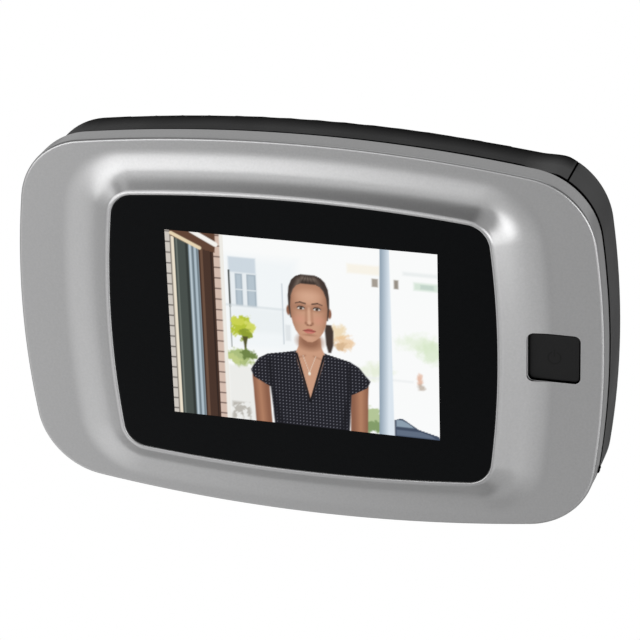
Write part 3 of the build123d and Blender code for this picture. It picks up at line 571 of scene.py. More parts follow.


# The hole for the button: painted at the front, bare dark plastic down its walls, wider behind, where
# the cap's flange moves. Its walls are black and reflect nothing, which is partly painted shade.
hole_levels = [
    (button_places(hole_pocket), hole_back),
    (button_places(hole_pocket), hole_pocket_front),
    (button_places(button_clearance), hole_pocket_front),
]
hole_levels += quarter_round(
    lambda inset: button_places(button_clearance + inset), hole_round, border_front, hole_steps,
)
hole_levels.append((button_places(button_clearance + hole_round * hole_overrun_share), hole_front))
shell_mesh = cut_by(shell_mesh, capped_loft("button_hole", hole_levels))
shell_mesh.set_sharp_from_angle(angle=math.radians(shell_sharp_angle))
shell_mesh.materials.clear()
silver = grained(
    "silver_paint", (0.427, 0.427, 0.430), (0.463, 0.463, 0.466),
    rough=0.275, grain=2200, metallic=0.8,
)
x, y, z = axes(silver)
reach = button_clearance + hole_slack
beside = band(x, button_x, button_half_width + reach, hole_softness)
level_with = band(z, button_z, button_half_height + reach, hole_softness)
# Bare dark plastic down the hole's walls, also made black and without reflection as painted shade.
bare_wall_and_shade = both(both(beside, level_with), above(y, border_front + hole_round, bare_wall_and_shade_softness))
layered(silver, bare_wall_and_shade, colour=(0.002, 0.002, 0.002), metallic=0.0, rough=0.6, specular=0.0, ior=1.02)
given(look_of(silver)["Coat Roughness"], 0.18)
given(look_of(silver)["Coat Weight"], ranged(bare_wall_and_shade, 0.25, 0))
shell = finished("silver_shell", shell_mesh, silver)
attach(shell, "monitor")
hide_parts("front_shell")

# View button: a square cap of fine matte plastic, slightly crowned, with a flange and a nub behind.
# It is trapped between the shell and the button board, and its nub presses the snap dome.
button_front = -0.0169
button_back = -0.01568
button_flange = 0.0009
button_flange_front = -0.01615
button_nub_z = -0.0001
button_nub_radius = 0.0011
nub_round_share = 0.98
button_nub_end = -0.01512
button_edge = 0.00018
button_edge_steps = 5
button_crown = 0.00012
crown_shares = (0.85, 0.7, 0.5, 0.3, 0.1)
piece_sharp_angle = 50
mark_radius = 0.0013
mark_line = 0.00022
mark_softness = 0.00012
mark_gap = 0.0005
mark_bar_middle = 0.0010
mark_bar_reach = 0.0008


def crown_level(share):
    places = [
        (button_x + (x - button_x) * share, button_z + (z - button_z) * share)
        for x, z in button_places(-button_edge)
    ]
    return places, button_front + button_crown * share ** 2


nub_places = rounded_places(
    button_x, button_nub_z, button_nub_radius, button_nub_radius,
    button_nub_radius * nub_round_share,
)
button_levels = [
    (nub_places, button_nub_end),
    (nub_places, button_back),
    (button_places(button_flange), button_back),
    (button_places(button_flange), button_flange_front),
    (button_places(0), button_flange_front),
]
button_levels += quarter_round(
    lambda inset: button_places(-inset), button_edge, button_front + button_crown, button_edge_steps,
)
button_levels += [crown_level(share) for share in crown_shares]
button_mesh = capped_loft("view_button", button_levels)
button_mesh.set_sharp_from_angle(angle=math.radians(piece_sharp_angle))


def reach_of(first, second):
    """How far a place is from an axis, given its two distances along the others."""
    return maths("SQRT", maths("ADD", both(first, first), both(second, second)))


button_plastic, look = principled("button_plastic")
x, y, z = axes(button_plastic)
aside = maths("SUBTRACT", x, button_x)
upward = maths("SUBTRACT", z, button_z)
top_gap = both(below(size_of(aside), mark_gap), maths("GREATER_THAN", upward, 0.0))
ring = band(reach_of(aside, upward), mark_radius, mark_line, mark_softness)
ring = both(ring, maths("SUBTRACT", 1.0, top_gap))
bar = below(size_of(aside), mark_line, mark_softness)
mark = either(ring, both(bar, band(upward, mark_bar_middle, mark_bar_reach)))
grain = noise(coordinates(button_plastic), 4200, 3.0)
plain = mixed(swayed(grain, 0, 1), (0.0065, 0.0065, 0.0068), (0.0100, 0.0100, 0.0103))
given(look["Base Color"], mixed(mark, plain, (0.004, 0.004, 0.0042)))
given(look["Roughness"], swayed(grain, 0.42, 0.55))
given(look["Normal"], bumped(grain, 0.00001))
given(look["Specular IOR Level"], 0.16)
button = finished("button_cap", button_mesh, button_plastic)
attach(button, "view_button")
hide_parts("view_button")

# Window: a clear acrylic sheet printed black on its back, left clear over the display, and stuck into
# the shell's rebate with a ring of black tape. The picture stands where the clear part is.
window_front = -0.02005
window_back = -0.01905
window_edge = 0.00012
window_edge_steps = 4
window_specular = 0.09
screen_x = 0.0004
screen_z = 0.0010
screen_half_width = 0.0288
screen_half_height = 0.02085
picture_inset = 0.00003
least_distance = 1e-9


def screen_places():
    """The clear area's outline, with one place for each place of the window's own outline."""
    places = []
    for x, z in outline_places(window_outline(0)):
        aside = x - screen_x
        upward = z - screen_z
        share_x = screen_half_width / max(abs(aside), least_distance)
        share_z = screen_half_height / max(abs(upward), least_distance)
        share = min(share_x, share_z)
        places.append([screen_x + aside * share, screen_z + upward * share])
    for side_x in (-1, 1):
        for side_z in (-1, 1):
            corner = (screen_x + side_x * screen_half_width, screen_z + side_z * screen_half_height)
            nearest = min(range(len(places)), key=lambda i: math.dist(places[i], corner))
            places[nearest] = list(corner)
    return places


def window_places(grow):
    return outline_places(window_outline(grow))


window_levels = [(window_places(0), window_back)]
window_levels += quarter_round(
    lambda inset: window_places(-inset), window_edge, window_front, window_edge_steps,
)
window_levels += [
    (window_places(-window_edge - flat_guard), window_front),
    (screen_places(), window_front),
    (screen_places(), window_back),
]
window_mesh = closed_loft("window_border", window_levels)
window_mesh.set_sharp_from_angle(angle=math.radians(piece_sharp_angle))
black_gloss = grained(
    "black_window", (0.0020, 0.0024, 0.0029), (0.0026, 0.0030, 0.0035),
    rough=(0.05, 0.08), grain=900, specular=window_specular,
)
window = finished("window_border", window_mesh, black_gloss)
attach(window, "monitor")
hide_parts("display_window")

# The picture on the lit display: a pale yard seen past an open door, and a calm visitor before it.
# It is painted onto the points of a fine grid that fills the window's clear area.
picture_columns = 320
picture_rows = 232
canvas_width = 1280.0
canvas_height = 928.0
canvas_overrun = 9.0
canvas_start = -canvas_overrun
canvas_end = canvas_height + canvas_overrun
canvas_white = 252.0
edge_softness = 4.0
full_colour = 255
leaf_pitch = 5.0
leaf_reach = 10
spray_pitch = 13.0
spray_turn = 0.5
spray_reach = 22
work = bmesh.new()
bmesh.ops.create_grid(work, x_segments=picture_columns, y_segments=picture_rows, size=0.5)
bmesh.ops.rotate(work, verts=work.verts, cent=(0, 0, 0), matrix=Matrix.Rotation(math.pi / 2, 3, "X"))
bmesh.ops.scale(work, verts=work.verts, vec=(2 * screen_half_width, 1, 2 * screen_half_height))
bmesh.ops.translate(work, verts=work.verts, vec=(screen_x, window_front + picture_inset, screen_z))
rim = [e for e in work.edges if e.is_boundary]
made = bmesh.ops.extrude_edge_only(work, edges=rim)["geom"]
behind = [v for v in made if isinstance(v, bmesh.types.BMVert)]
bmesh.ops.translate(work, verts=behind, vec=(0, window_back - window_front - picture_inset, 0))
bmesh.ops.holes_fill(work, edges=[e for e in work.edges if e.is_boundary])
bmesh.ops.recalc_face_normals(work, faces=work.faces)
picture_mesh = mesh_from("lit_picture", work, False)

places = np.empty(len(picture_mesh.vertices) * 3)
picture_mesh.vertices.foreach_get("co", places)
places = places.reshape(-1, 3)
across = (places[:, 0] - screen_x + screen_half_width) / (2 * screen_half_width) * canvas_width
down = (screen_z + screen_half_height - places[:, 2]) / (2 * screen_half_height) * canvas_height
canvas = np.full((len(places), 3), canvas_white)


def inside(distance, softness=edge_softness):
    return np.clip(0.5 + distance / softness, 0, 1)


def box(left, top, right, bottom, softness=edge_softness):
    return inside(np.minimum.reduce((across - left, right - across, down - top, bottom - down)), softness)


def oval(x, y, half_width, half_height, softness=edge_softness, ragged=0):
    far = np.sqrt(((across - x) / half_width) ** 2 + ((down - y) / half_height) ** 2)
    return inside((1 - far) * min(half_width, half_height) + ragged, softness)


def rows(edges, softness=edge_softness):
    """The shape between a left and a right edge, given row by row as (down, left, right)."""
    heights, lefts, rights = zip(*edges)
    left = np.interp(down, heights, lefts)
    right = np.interp(down, heights, rights)
    ends = (down - heights[0], heights[-1] - down)
    return inside(np.minimum.reduce((across - left, right - across, *ends)), softness)


def line(start, end, half_width, softness=edge_softness):
    start_x, start_y = start
    way_x = end[0] - start_x
    way_y = end[1] - start_y
    along = (across - start_x) * way_x + (down - start_y) * way_y
    share = np.clip(along / (way_x ** 2 + way_y ** 2), 0, 1)
    far = np.hypot(across - start_x - share * way_x, down - start_y - share * way_y)
    return inside(half_width - far, softness)


def paint(shape, colour, strength=1.0):
    share = (shape * strength)[:, None]
    canvas[:] = canvas * (1 - share) + np.asarray(colour, float) * share


def leaves(pitch, turn=0.0, bend_u=1.3, bend_v=1.7, rate_u=0.6, rate_v=0.7):
    """Blots as large as leaves, from 0 to 1, made of crossed and bent waves."""
    u = (across * math.cos(turn) + down * math.sin(turn)) / pitch
    v = (down * math.cos(turn) - across * math.sin(turn)) / pitch
    waves = np.sin(u + bend_u * np.sin(rate_v * v)) * np.sin(v + bend_v * np.sin(rate_u * u))
    return 0.5 + 0.5 * waves


rough = (leaves(spray_pitch, spray_turn) - 0.5) * spray_reach + (leaves(leaf_pitch) - 0.5) * leaf_reach


def bush(x, y, half_width, half_height, softness, colour, strength=1.0, ragged=1.0):
    paint(oval(x, y, half_width, half_height, softness, rough * ragged), colour, strength)


# The house front across the yard, with its roof, two windows and a rain pipe, then a low wall.
door_edge = 275
pane_top = 186
pane_foot = 346
pane_frame = 6
paint(box(door_edge, 0, canvas_width, canvas_height), (252, 253, 253))
paint(box(door_edge, 100, 620, 560, 60), (236, 243, 247), 0.5)
paint(box(298, 104, 428, 182, 10), (200, 212, 222), 0.85)
paint(box(296, 180, 432, 352, 10), (232, 238, 242), 0.8)
for left, right in ((328, 362), (383, 427)):
    pane = (left + pane_frame, pane_top + pane_frame, right - pane_frame, pane_foot - pane_frame)
    paint(box(left, pane_top, right, pane_foot, 6), (150, 166, 178), 0.85)
    paint(box(*pane, 8), (188, 202, 212), 0.8)
    paint(box(left, 262, right, 268), (222, 230, 234))
paint(box(295, 170, 303, 356), (64, 70, 68))
paint(box(296, 350, 302, 560), (168, 174, 172))
paint(box(276, 340, 560, 352, 8), (214, 222, 226), 0.6)
paint(box(304, 352, 556, 470, 30), (230, 236, 238), 0.4)
paint(box(548, 215, 554, 520), (206, 214, 220))
paint(box(560, 420, 585, 500, 10), (222, 227, 230), 0.8)

# Far windows and eaves to the right, nearly lost in the light, and trees and flowers below them.
paint(box(860, 85, 1012, 130, 14), (250, 244, 230), 0.8)
paint(box(975, 148, 1003, 188, 8), (166, 158, 148))
paint(box(1078, 145, 1098, 188, 8), (152, 144, 134))
paint(box(1120, 100, 1280, 118, 12), (236, 240, 240), 0.9)
paint(box(1170, 148, 1280, 185, 14), (214, 230, 216), 0.9)
paint(box(1200, 156, 1262, 178, 8), (186, 204, 196), 0.6)
bush(1190, 450, 90, 40, 40, (228, 240, 216), 0.7)
bush(1250, 486, 60, 50, 40, (214, 232, 198), 0.7)
bush(985, 612, 60, 38, 40, (226, 236, 208), 0.7)
bush(812, 440, 34, 44, 24, (238, 214, 172), 0.8)
bush(836, 486, 44, 40, 20, (236, 196, 150), 0.75)
bush(820, 500, 30, 20, 16, (196, 160, 120), 0.5)
bush(1190, 632, 14, 26, 12, (222, 168, 140), 0.7, 0.4)
bush(1196, 668, 18, 16, 12, (168, 150, 132), 0.6, 0.4)
paint(box(880, 640, 1160, 650, 10), (236, 239, 240), 0.7)

# The small tree and the shrubs beside the door, with the path and some stones in front of them.
bush(352, 450, 52, 56, 12, (184, 198, 60))
bush(330, 426, 30, 26, 10, (206, 214, 84), 0.9)
bush(392, 448, 22, 30, 10, (216, 222, 110), 0.8)
bush(362, 490, 30, 26, 10, (132, 150, 44), 0.8)
paint(rows([(500, 352, 378), (540, 358, 370), (572, 360, 368)], 6), (84, 84, 44))
bush(336, 604, 66, 44, 16, (164, 184, 112), 0.9)
bush(372, 590, 36, 26, 10, (96, 118, 56), 0.8)
bush(310, 620, 30, 22, 10, (198, 210, 140), 0.8)
paint(rows([(650, 276, 430), (928, 276, 420)], 20), (232, 232, 228), 0.7)
stones = rows([(840, 290, 372), (928, 284, 384)], 14) * inside(rough + 2, 8)
paint(stones, (176, 172, 164), 0.8)
bush(965, 860, 60, 60, 16, (164, 186, 128), 0.8)
bush(960, 896, 40, 30, 12, (110, 138, 84), 0.7)

# A parked car's corner low on the right, and the round post that stands before the yard.
paint(rows([
    (838, 1094, 1106), (848, 1068, 1124), (860, 1068, 1142), (885, 1068, 1182), (910, 1068, 1276),
    (canvas_end, 1068, 1290),
]), (66, 78, 98))
paint(rows([(846, 1076, 1104), (858, 1076, 1130), (872, 1076, 1150), (880, 1076, 1160)]), (142, 160, 176))
paint(rows([(896, 1076, 1190), (910, 1076, 1240), (924, 1076, 1262)], 8), (104, 118, 138), 0.8)
post_shade = np.array((142, 160, 176))
post_light = np.array((222, 232, 241))
post_light_reach = 46
post_left = np.interp(down, (0, canvas_height), (1015, 994))
post_way = np.clip((across - post_left) / post_light_reach, 0, 1)[:, None]
post_colour = (1 - post_way) * post_shade + post_way * post_light
paint(rows([(canvas_start, 1015, 1058), (canvas_end, 994, 1066)]), post_colour)

# The open door at the picture's left: wall tiles, a pale frame, a dark leaf with panes, a brown post.
# Each is a strip over the full height, and two of them have the joints between tiles across them.
tile_pitch = 53
tile_shift = 20
tile_joint_middle = 26
tile_joint_half = 3
tile_joint = inside(tile_joint_half - np.abs((down + tile_shift) % tile_pitch - tile_joint_middle))
for left, right, colour, joint_colour in (
    (canvas_start, 276, (222, 216, 204), None),
    (canvas_start, 23, (206, 200, 192), (98, 92, 88)),
    (22, 29, (120, 112, 104), None),
    (28, 43, (236, 226, 206), None),
    (42, 111, (70, 78, 74), None),
    (50, 58, (104, 112, 106), None),
    (96, 106, (48, 54, 52), None),
    (110, 162, (132, 148, 158), None),
    (114, 123, (188, 202, 210), None),
    (128, 133, (96, 108, 114), None),
    (136, 146, (176, 192, 202), None),
    (150, 154, (108, 120, 126), None),
    (158, 231, (72, 50, 40), None),
    (166, 178, (106, 78, 62), None),
    (214, 222, (50, 34, 28), None),
    (230, 262, (214, 190, 176), (112, 92, 86)),
    (260, 277, (240, 238, 232), None),
):
    strip = box(left, canvas_start, right, canvas_end)
    paint(strip, colour)
    if joint_colour:
        paint(strip * tile_joint, joint_colour)
lintel = rows([(canvas_start, 24, 240), (28, 28, 240), (60, 110, 240), (84, 190, 236), (92, 232, 236)])
paint(lintel, (96, 66, 50))
paint(line((30, 14), (164, 76), 9), (232, 214, 180))
paint(line((128, -6), (240, 52), 12), (246, 244, 240))

# The visitor: hair drawn back, bare arms and a dark dotted blouse, with a plain face on even
# proportions, the eyes halfway down the head.
skin = (204, 156, 128)
skin_shade = (142, 96, 74)
skin_light = (226, 184, 158)
arm_light = (186, 134, 104)
hair = (64, 52, 47)
hair_shine = (122, 108, 98)
blouse_dark = (30, 30, 38)
blouse_fold = (18, 18, 24)
blouse_edge = (20, 20, 26)
blouse_dot = (150, 152, 164)
chain = (232, 226, 214)
lash = (46, 32, 28)
brow = (82, 60, 50)
middle = 675.0
head_half_width = 92
ear_out = 97
eye_out = 38
eye_line = 328
lid_line = eye_line - 8
nose_line = 398
mouth_line = 439
dot_pitch = 16
dot_gain = 12
dot_cut = 8.4


def even(halves, softness):
    """A shape with the same outline on both sides of the middle, given as (down, half width)."""
    return rows([(height, middle - half, middle + half) for height, half in halves], softness)


paint(rows([(400, 752, 778), (430, 748, 788), (500, 752, 786), (540, 762, 774)], 8), hair)
left_arm = [(690, 392, 470), (780, 396, 474), (canvas_end, 402, 480)]
left_arm_lit = [(690, 408, 440), (canvas_end, 420, 452)]
right_arm = [(690, 866, 948), (780, 862, 944), (canvas_end, 858, 940)]
right_arm_lit = [(690, 892, 930), (canvas_end, 888, 924)]
for arm, lit in ((left_arm, left_arm_lit), (right_arm, right_arm_lit)):
    paint(rows(arm, 6), skin_shade)
    paint(rows(lit, 30), arm_light, 0.8)
blouse = rows([
    (546, 606, 744), (560, 545, 800), (575, 470, 862), (600, 428, 905), (640, 400, 936),
    (665, 386, 958), (700, 398, 942), (735, 462, 884), (744, 480, 866), (canvas_end, 492, 852),
], 6)
paint(blouse, blouse_dark)
weave = (np.sin(across * math.pi / dot_pitch) * np.sin(down * math.pi / dot_pitch)) ** 2
paint(blouse * inside(weave * dot_gain - dot_cut, 3), blouse_dot, 0.85)
paint(rows([(600, 468, 486), (744, 476, 494), (canvas_end, 508, 540)], 14), blouse_fold, 0.5)
paint(rows([(600, 852, 868), (744, 846, 862), (canvas_end, 806, 836)], 14), blouse_fold, 0.5)
paint(rows([(470, 624, 726), (520, 620, 730), (552, 606, 744), (600, 612, 736), (802, 665, 671)], 6), skin)
paint(oval(middle, 492, 56, 40, 34), skin_shade, 0.85)
paint(line((650, 566), (612, 580), 3, 10), skin_shade, 0.5)
paint(line((690, 566), (732, 580), 3, 10), skin_shade, 0.5)
paint(line((610, 560), (668, 802), 5), blouse_edge)
paint(line((740, 560), (668, 802), 5), blouse_edge)
paint(line((640, 568), (667, 648), 1.2, 3), chain, 0.8)
paint(line((700, 568), (669, 648), 1.2, 3), chain, 0.8)
paint(oval(668, 656, 6, 9), (244, 240, 228))
for side in (-1, 1):
    paint(oval(middle + side * ear_out, 344, 10, 24, 5), skin_shade)
paint(even([(160, 35), (170, 59), (190, 79), (225, 93), (270, 98), (320, 97), (380, 89)], 5), hair)
paint(line((632, 190), (602, 262), 10, 18), hair_shine, 0.8)
paint(line((718, 190), (748, 262), 8, 18), hair_shine, 0.5)
paint(line((650, 178), (704, 180), 10, 16), hair_shine, 0.85)
for shift in (-26, -9, 9, 26):
    paint(line((middle + shift * 0.5, 166), (middle + shift * 1.3, 208), 1.4, 5), (40, 32, 30), 0.6)
face = even([
    (206, 35), (216, 55), (236, 71), (270, 83), (320, 88), (370, 85), (410, 77), (440, 66), (466, 49),
    (484, 30), (495, 11),
], 6)
paint(face, skin)
paint(face * np.clip(np.abs((across - middle) / head_half_width) ** 3, 0, 1), skin_shade, 0.75)
paint(face * inside(236 - down, 44), skin_shade, 0.35)
paint(oval(middle, 268, 44, 26, 36), (222, 178, 152), 0.5)
for side in (-1, 1):
    eye = middle + side * eye_out
    paint(oval(eye, eye_line - 6, 29, 17, 22), skin_shade, 0.55)
    paint(oval(eye + side * 6, 384, 24, 17, 30), (216, 150, 130), 0.5)
    paint(oval(eye, eye_line, 17, 7.5), (228, 222, 216))
    paint(oval(eye, eye_line, 7.5, 7.5), (74, 56, 44))
    paint(oval(eye, eye_line, 3.2, 3.4, 3), (16, 12, 12))
    paint(oval(eye - 3, eye_line - 3, 1.8, 1.8, 3), (250, 250, 250), 0.9)
    paint(line((eye - 17, lid_line + 6), (eye - 8, lid_line), 2.2), lash)
    paint(line((eye - 8, lid_line), (eye + 8, lid_line), 2.4), lash)
    paint(line((eye + 8, lid_line), (eye + 17, lid_line + 6), 2.2), lash)
    paint(line((eye - 13, eye_line + 7), (eye + 13, eye_line + 7), 1.0, 5), skin_shade, 0.7)
    paint(line((eye - side * 22, eye_line - 24), (eye + side * 4, eye_line - 30), 3.4), brow, 0.9)
    paint(line((eye + side * 4, eye_line - 30), (eye + side * 25, eye_line - 23), 2.4), brow, 0.9)
    paint(line((middle + side * 13, 330), (middle + side * 15, 396), 3, 14), skin_shade, 0.45)
    paint(oval(middle + side * 15, nose_line + 4, 7, 7, 7), skin_shade, 0.65)
    paint(oval(middle + side * 8, nose_line + 12, 4.5, 2.6), (110, 66, 54), 0.9)
paint(line((middle, 326), (middle, 390), 4, 10), (224, 182, 156), 0.7)
paint(oval(middle, nose_line, 9, 8, 8), skin_light, 0.7)
paint(oval(middle, nose_line + 14, 11, 3, 5), skin_shade, 0.6)
paint(even([(mouth_line - 10, 7), (mouth_line - 5, 20), (mouth_line, 31)], 4), (176, 92, 84))
paint(even([(mouth_line, 31), (mouth_line + 7, 23), (mouth_line + 13, 11)], 4), (196, 110, 100))
paint(line((middle - 30, mouth_line), (middle + 30, mouth_line), 1.5), (112, 52, 48))
paint(oval(middle, mouth_line + 7, 13, 2.6, 4), (218, 142, 130), 0.7)
paint(oval(middle, mouth_line + 21, 24, 5, 9), skin_shade, 0.55)
paint(oval(middle, mouth_line + 38, 17, 9, 14), (214, 168, 142), 0.5)


def linear(colours):
    """Screen colours as the linear colours that a shader takes."""
    return np.where(colours <= 0.04045, colours / 12.92, ((colours + 0.055) / 1.055) ** 2.4)


picture = picture_mesh.color_attributes.new("picture", "FLOAT_COLOR", "POINT")
colours = np.column_stack((linear(canvas / full_colour), np.ones(len(canvas))))
picture.data.foreach_set("color", colours.ravel())
display, look = principled("display_glass")
attribute = display.node_tree.nodes.new("ShaderNodeVertexColor")
attribute.layer_name = "picture"
given(look["Emission Color"], attribute.outputs["Color"])
given(look["Emission Strength"], 0.97)
given(look["Base Color"], (0.002, 0.002, 0.002))
given(look["Roughness"], swayed(noise(coordinates(display), 900), 0.05, 0.08))
given(look["Specular IOR Level"], window_specular)
lit_picture = finished("lit_picture", picture_mesh, display)
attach(lit_picture, "monitor")
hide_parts("display_window")

# Back housing and end cover: black ABS, moulded with a fine spark texture. The housing is screwed to
# the shell from behind, the cover slides off its right end. A painted shadow line stands for the gap
# that parts them from the shell, and another for the seam between housing and cover.
gap_shadow_end = -0.0112
top_gap_shadow_end = -0.0092
gap_shadow_softness = 0.0003
cover_seam = 0.05376
seam_shadow_half_width = 0.00022
swell_start = 0.0440
swell_end = 0.0500
shaded_height = 0.036
shade_softness = 0.001
shade_front = -0.0070
shade_depth = 0.0060
housing_specular = 0.22
swell_specular = 0.72


def lines(value, pitch, share=0.5):
    """Lines at every multiple of the pitch, as wide as a share of it."""
    return below(maths("PINGPONG", value, pitch / 2), pitch * share / 2, pitch * share / 4)


def crossed(first, second, pitch, share=0.5):
    return either(lines(first, pitch, share), lines(second, pitch, share))


def ridged(material, height, distance):
    """Adds a bump on top of the bump that is there."""
    socket = look_of(material)["Normal"]
    normal = bumped(height, distance)
    if socket.is_linked:
        given(normal.node.inputs["Normal"], socket.links[0].from_socket)
    given(socket, normal)


def dressed(material, *names):
    for name in names:
        nodes[name].data.materials.clear()
        nodes[name].data.materials.append(material)


dark_plastic = grained(
    "black_plastic", (0.007, 0.007, 0.0075), (0.012, 0.012, 0.013),
    rough=(0.42, 0.52), grain=2600, bump=0.00003,
)
x, y, z = axes(dark_plastic)
sheen = ranged(x, housing_specular, swell_specular, swell_start, swell_end)
given(look_of(dark_plastic)["Specular IOR Level"], sheen)
# Painted shade: the top and bottom of the housing are darker and duller towards the back.
painted_shade = both(above(size_of(z), shaded_height, shade_softness), above(y, shade_front, shade_depth))
layered(dark_plastic, painted_shade, colour=(0.003, 0.003, 0.003), specular=0.05, ior=1.12)
# Painted shadow: a black line that reflects nothing, along the gap to the shell and across the cover's
# seam.
edge = ranged(x, top_gap_shadow_end, gap_shadow_end, swell_start, swell_end)
gap_shadow = below(maths("SUBTRACT", y, edge), 0, gap_shadow_softness)
gap_shadow = either(gap_shadow, band(x, cover_seam, seam_shadow_half_width))
layered(dark_plastic, gap_shadow, colour=(0.001, 0.001, 0.001), specular=0.0, ior=1.02)
dressed(dark_plastic, "back_housing", "battery_cover")


# Case screws, board screws: zinc plated steel, turned heads with a cross recess, into moulded bosses.
# The plating is dulled here and there by handling.
def metal(name, dark, light, rough, grain, bump, stretch=None):
    return grained(name, dark, light, rough, grain, bump, 1.0, stretch=stretch)


def clouds(material, scale, detail=3.0):
    return noise(coordinates(material), scale, detail)


screw_zinc = metal(
    "screw_zinc", (0.46, 0.46, 0.47), (0.60, 0.60, 0.61),
    rough=(0.26, 0.40), grain=3000, bump=0.000004,
)
layered(screw_zinc, clouds(screw_zinc, 500, 2.0), colour=(0.40, 0.39, 0.36))
dressed(screw_zinc, "case_screws", "board_screws")

# Bracket: zinc plated sheet steel with rolling marks up it, stamped and bent, held by two pads of
# grey foam tape and by the clamp sleeve.
pad_middle = -0.0004
pad_liner_half = 0.0003
bracket_zinc = metal(
    "bracket_zinc", (0.44, 0.44, 0.45), (0.58, 0.58, 0.58),
    rough=(0.26, 0.42), grain=1800, bump=0.000005, stretch=(1, 1, 0.04),
)
stains = above(clouds(bracket_zinc, 160, 4.0), 0.52, 0.2)
layered(bracket_zinc, stains, colour=(0.50, 0.49, 0.45), rough=0.48)
dressed(bracket_zinc, "bracket_plate")
foam = grained(
    "foam_tape", (0.05, 0.05, 0.055), (0.12, 0.12, 0.125),
    rough=(0.8, 0.95), grain=1500, bump=0.00012, specular=0.2,
)
x, y, z = axes(foam)
layered(foam, band(y, pad_middle, pad_liner_half), colour=(0.16, 0.16, 0.165))
dressed(foam, "adhesive_pads")

# Clamp sleeve and module retainer: turned brass, the sleeve threaded inside for the barrel. Fine
# tool marks run round both, and the brass is tarnished in places.
tool_mark_pitch = 0.00025
tool_mark_share = 0.48
tool_mark_depth = 0.00001
brass = metal(
    "turned_brass", (0.55, 0.36, 0.13), (0.68, 0.47, 0.19),
    rough=(0.20, 0.32), grain=2500, bump=0.000003, stretch=(1, 9, 1),
)
x, y, z = axes(brass)
ridged(brass, lines(y, tool_mark_pitch, tool_mark_share), tool_mark_depth)
layered(brass, above(clouds(brass, 300), 0.5, 0.25), colour=(0.42, 0.26, 0.10), rough=0.38)
dressed(brass, "clamp_sleeve", "module_retainer")

# Camera barrel: nickel plated brass, threaded up to its round head and turned in rings on the head.
# The roots of the thread stay darker than its crests.
thread_pitch = 0.00075
thread_phase = 0.001
thread_end = 0.0398
thread_fade = 0.0003
thread_depth = 0.00032
root_level = 0.35
root_softness = 0.3
head_front = 0.0440
head_ring_pitch = 0.0003
head_ring_depth = 0.000006
nickel = metal(
    "nickel_plate", (0.54, 0.53, 0.51), (0.66, 0.65, 0.63),
    rough=(0.16, 0.26), grain=2000, bump=0.000002,
)
x, y, z = axes(nickel)
thread = maths("PINGPONG", maths("ADD", y, thread_phase), thread_pitch / 2)
thread = both(maths("DIVIDE", thread, thread_pitch / 2), below(y, thread_end, thread_fade))
ridged(nickel, thread, thread_depth)
roots = both(below(y, thread_end), below(thread, root_level, root_softness))
layered(nickel, roots, colour=(0.24, 0.23, 0.21), rough=0.4)
head_rings = both(lines(reach_of(x, z), head_ring_pitch), above(y, head_front))
ridged(nickel, head_rings, head_ring_depth)
dressed(nickel, "camera_barrel")

# Contacts: nickel plated spring wire and strip, pressed into the tray and the cover. The cells'
# ends have rubbed the plating dull in spots.
contact_nickel = metal(
    "contact_nickel", (0.58, 0.57, 0.55), (0.68, 0.67, 0.65),
    rough=(0.2, 0.34), grain=2200, bump=0.000004,
)
layered(contact_nickel, above(clouds(contact_nickel, 700), 0.56, 0.1), colour=(0.36, 0.35, 0.32))
dressed(contact_nickel, "spring_contacts", "cover_contacts")

# Door gasket: a black rubber ring under the barrel's head, with fine moulded ribs round it. It keeps
# rain out of the hole in the door.
gasket_rib_pitch = 0.001
gasket_rib_depth = 0.00008
rubber = grained(
    "black_rubber", (0.013, 0.013, 0.013), (0.024, 0.024, 0.024),
    rough=(0.65, 0.8), grain=1800, bump=0.00002, specular=0.3,
)
x, y, z = axes(rubber)
ridged(rubber, lines(reach_of(x, z), gasket_rib_pitch), gasket_rib_depth)
dressed(rubber, "door_gasket")

# Eye window, lenses and infrared filter: ground glass with thin coatings, glued or snapped into the
# lens holder, which is black plastic with light-trap grooves.
glass_ior = 1.52
smear_tint_share = 0.97
light_trap_pitch = 0.0005
light_trap_depth = 0.00012


def coated_glass(name, tint, thin, film):
    material, look = principled(name)
    smear = noise(coordinates(material), 300, 3.0)
    given(look["Base Color"], mixed(smear, tint, tuple(smear_tint_share * v for v in tint)))
    given(look["Roughness"], ranged(smear, 0.0, 0.04, 0.5, 0.8))
    given(look["Thin Film Thickness"], ranged(smear, thin, thin + film, 0.2, 0.8))
    given(look["Transmission Weight"], 1.0)
    given(look["IOR"], glass_ior)
    return material


dressed(coated_glass("clear_glass", (0.98, 0.99, 0.99), 320.0, 60.0), "eye_window")
dressed(coated_glass("lens_glass", (0.94, 0.98, 0.97), 420.0, 80.0), "front_lens", "rear_lens")
dressed(coated_glass("filter_glass", (0.55, 0.86, 0.90), 560.0, 60.0), "light_filter")
holder_plastic = grained(
    "holder_plastic", (0.009, 0.009, 0.010), (0.016, 0.016, 0.017),
    rough=(0.5, 0.65), grain=3000, bump=0.00001,
)
x, y, z = axes(holder_plastic)
ridged(holder_plastic, lines(y, light_trap_pitch), light_trap_depth)
dressed(holder_plastic, "lens_holder")

